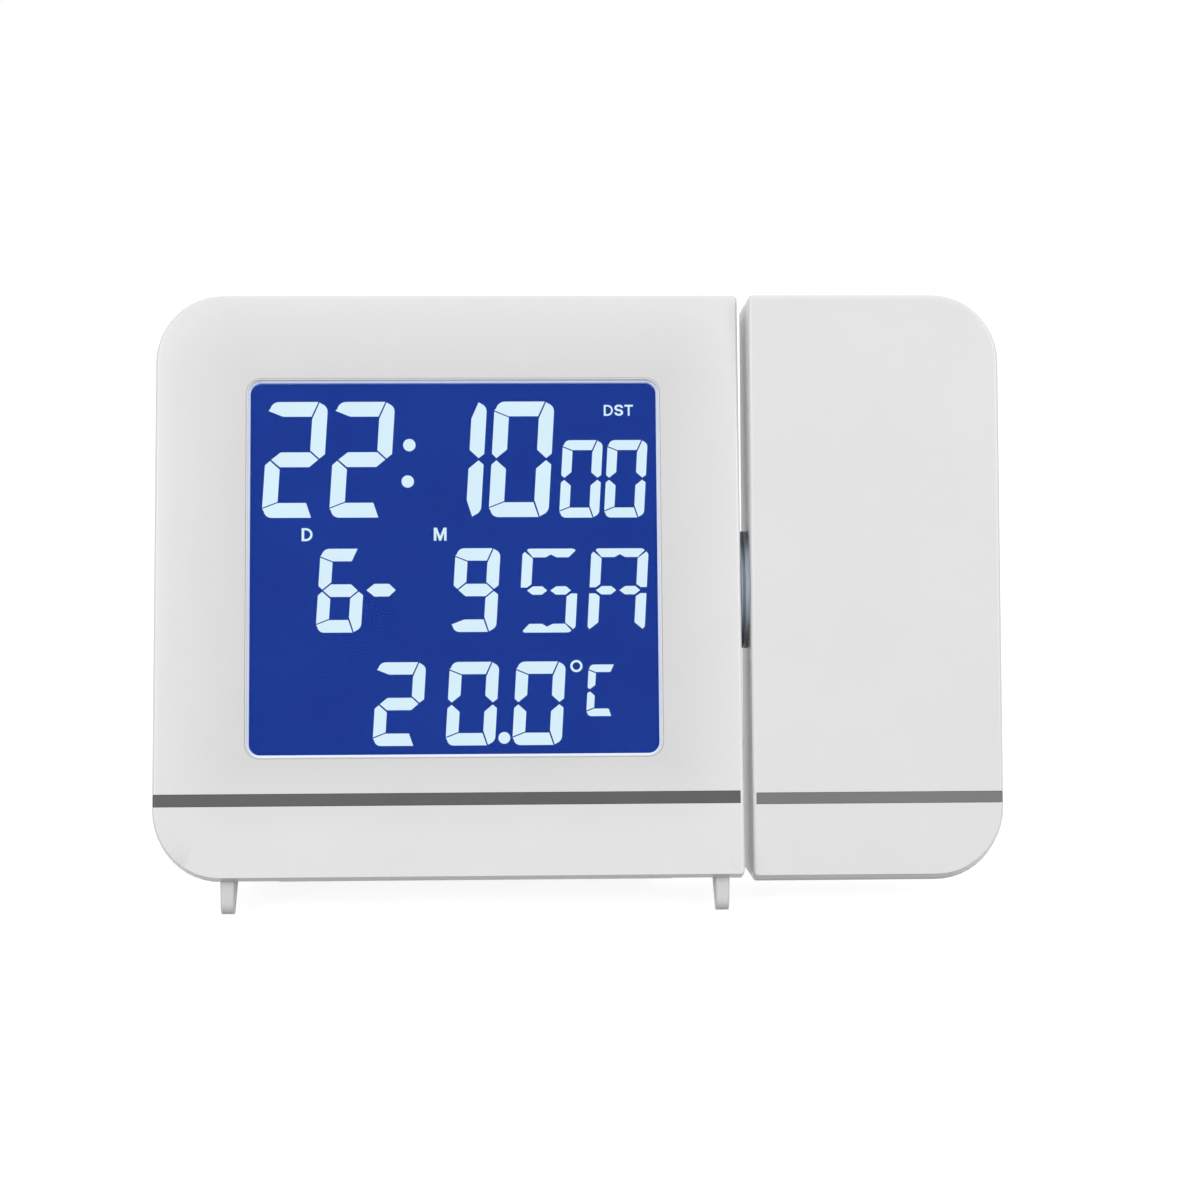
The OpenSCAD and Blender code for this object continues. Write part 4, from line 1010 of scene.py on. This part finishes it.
def sleeve_finish():
    material, tree, shader = node_tree("cell_sleeve")
    place = tree.nodes.new("ShaderNodeUVMap")
    place.uv_map = "along"
    ramp = tree.nodes.new("ShaderNodeValToRGB")
    ramp.color_ramp.interpolation = "CONSTANT"
    for position, colour in ((0.05, (36, 38, 42)), (0.7, (196, 128, 52)), (0.955, (190, 192, 195))):
        stop = ramp.color_ramp.elements.new(position)
        stop.color = light(*colour)
    ramp.color_ramp.elements[0].color = light(190, 192, 195)
    tree.links.new(place.outputs["UV"], ramp.inputs["Fac"])
    tree.links.new(ramp.outputs["Color"], shader.inputs["Base Color"])
    tree.links.new(between(tree, noise(tree, 300), 0.2, 0.26), shader.inputs["Roughness"])
    shader.inputs["Metallic"].default_value = 0.6
    return material


cell_sleeve = sleeve_finish()
for number, (z, start, sign) in enumerate(CELLS):
    shape = [(0, 0), (0, CELL_R - 1.2), (0.15, CELL_R - 0.6), (0.6, CELL_R), (CELL_L - 0.7, CELL_R),
             (CELL_L - 0.2, CELL_R - 0.5), (CELL_L, CELL_R - 1.1), (CELL_L - 0.3, 4.5), (CELL_L - 0.3, 2.7),
             (CELL_L + 0.8, 2.6), (CELL_L + 1, 2.2), (CELL_L + 1, 0)]
    cell = lathe(f"battery_cell_{number + 1}", [(sign * d, r) for d, r in shape], (start, CELL_Y, z), "X",
                 closed=False)
    layer = cell.data.uv_layers.new(name="along")
    for loop in cell.data.loops:
        reach = abs(cell.data.vertices[loop.vertex_index].co.x - start) / CELL_L
        layer.data[loop.index].uv = (min(1, reach), 0)
    settle(cell, BODY, "clock_body", cell_sleeve, ["battery_cells"])

# %% [markdown]
# ## Finishes for the model's own parts
#
# Everything that we haven't rebuilt keeps its shape and gets a finish. The table is grouped by finish, so
# that a glance shows what is steel and what is moulding.

# %% Finishes for the model's own parts
own_finish = {
    segment_glow: ["lcd_segments"],
    film_white: ["diffuser_film", "reflector_film", "lcd_holder"],
    guide_clear: ["light_guide", "lcd_rear_glass"],
    contact_pink: ["contact_strips"],
    key_white: ["backlight_leds", "projector_led"],
    board_green: ["main_board", "receiver_board", "key_board", "projector_board"],
    black_moulding: ["chip_blob", "buzzer", "dc_jack", "snooze_switch", "optics_frame", "temperature_sensor"],
    steel: ["quartz_crystal", "dc_jack_pin", "key_domes", "slide_switch", "battery_springs", "battery_plates",
            "cover_screws", "board_screws", "foot_pins", "hub_nut", "wave_washer", "hub_retainer",
            "projector_screws"],
    ferrite_black: ["ferrite_rod"],
    copper: ["antenna_coil"],
    wire_red: ["projector_wires"],
    plug_ivory: ["harness_plug"],
    rubber: ["heel_pad"],
    lens_glass: ["projector_optics"],
}
for material, nodes in own_finish.items():
    for node in nodes:
        part = frame["nodes"][node]
        for slot in part.material_slots:
            slot.material = material
        smooth(part.data)
print("own parts finished:", sum(len(nodes) for nodes in own_finish.values()))

# %% [markdown]
# ## Table and room
#
# The clock stands on a pale table in a white room. The room shows white to the camera, and to anything
# that mirrors it, while the light that falls on the clock is a little dimmer, so white plastic keeps its
# shading. The table is an ordinary diffuse surface, which keeps the soft shadow under the clock, with just
# enough glow of its own to reach white in the open.

# %% Table and room
TABLE_SIZE, ROOM_LIGHT, TABLE_GREY, TABLE_GLOW = 4.0, 0.53, 0.3, 0.9


def seen_directly(tree):
    """1 for camera, mirror and glass rays, 0 for the light that falls on things."""
    path = tree.nodes.new("ShaderNodeLightPath")
    total = path.outputs["Is Camera Ray"]
    for kind in ("Is Glossy Ray", "Is Transmission Ray"):
        larger = tree.nodes.new("ShaderNodeMath")
        larger.operation = "MAXIMUM"
        tree.links.new(total, larger.inputs[0])
        tree.links.new(path.outputs[kind], larger.inputs[1])
        total = larger.outputs[0]
    return total


def white_room():
    world = bpy.data.worlds.new("white_room")
    scene.world = world
    world.use_nodes = True
    tree = world.node_tree
    room, plain = tree.nodes["Background"], tree.nodes.new("ShaderNodeBackground")
    dial(room, Color=(1, 1, 1, 1), Strength=ROOM_LIGHT)
    dial(plain, Color=(1, 1, 1, 1), Strength=1.0)
    mix = tree.nodes.new("ShaderNodeMixShader")
    tree.links.new(seen_directly(tree), mix.inputs["Fac"])
    tree.links.new(room.outputs[0], mix.inputs[1])
    tree.links.new(plain.outputs[0], mix.inputs[2])
    tree.links.new(mix.outputs[0], tree.nodes["World Output"].inputs["Surface"])


def table_finish():
    material, tree, shader = node_tree("pale_table")
    dial(shader, Base_Color=(TABLE_GREY, TABLE_GREY, TABLE_GREY, 1), Roughness=0.9, Specular_IOR_Level=0.1)
    glow_node = tree.nodes.new("ShaderNodeEmission")
    dial(glow_node, Color=(1, 1, 1, 1))
    power = tree.nodes.new("ShaderNodeMath")
    power.operation = "MULTIPLY"
    power.inputs[1].default_value = TABLE_GLOW
    tree.links.new(seen_directly(tree), power.inputs[0])
    tree.links.new(power.outputs[0], glow_node.inputs["Strength"])
    both = tree.nodes.new("ShaderNodeAddShader")
    tree.links.new(shader.outputs[0], both.inputs[0])
    tree.links.new(glow_node.outputs[0], both.inputs[1])
    tree.links.new(both.outputs[0], tree.nodes["Material Output"].inputs["Surface"])
    return material


white_room()
corners = [(TABLE_SIZE * x, TABLE_SIZE * y, 0) for x, y in ((-1, -1), (1, -1), (1, 1), (-1, 1))]
table = mesh_piece("table", corners, [(0, 1, 2, 3)])
table.data.materials.append(table_finish())

# %% [markdown]
# ## Lamps
#
# Soft studio light: two large lamps, in front at the left and the right, light the face of the clock, and
# a weak one overhead lifts the faces that look up. The undersides stay darker.

# %% Lamps
def lamp(name, place, aim, size, watts):
    data = bpy.data.lights.new(name, "AREA")
    data.shape, data.size, data.energy = "DISK", size, watts
    piece = bpy.data.objects.new(name, data)
    piece.location = place
    piece.rotation_euler = (Vector(aim) - Vector(place)).to_track_quat("-Z", "Y").to_euler()
    scene.collection.objects.link(piece)


CENTRE = ((cad_box[0][0] + cad_box[1][0]) / 2, 0, 0.05)
lamp("overhead", (0.1, -0.35, 1.1), CENTRE, 1.2, 1.0)
lamp("front_left", (-0.9, -1.2, 0.7), CENTRE, 0.9, 9.6)
lamp("front_right", (1.0, -1.1, 0.6), CENTRE, 0.9, 8.0)
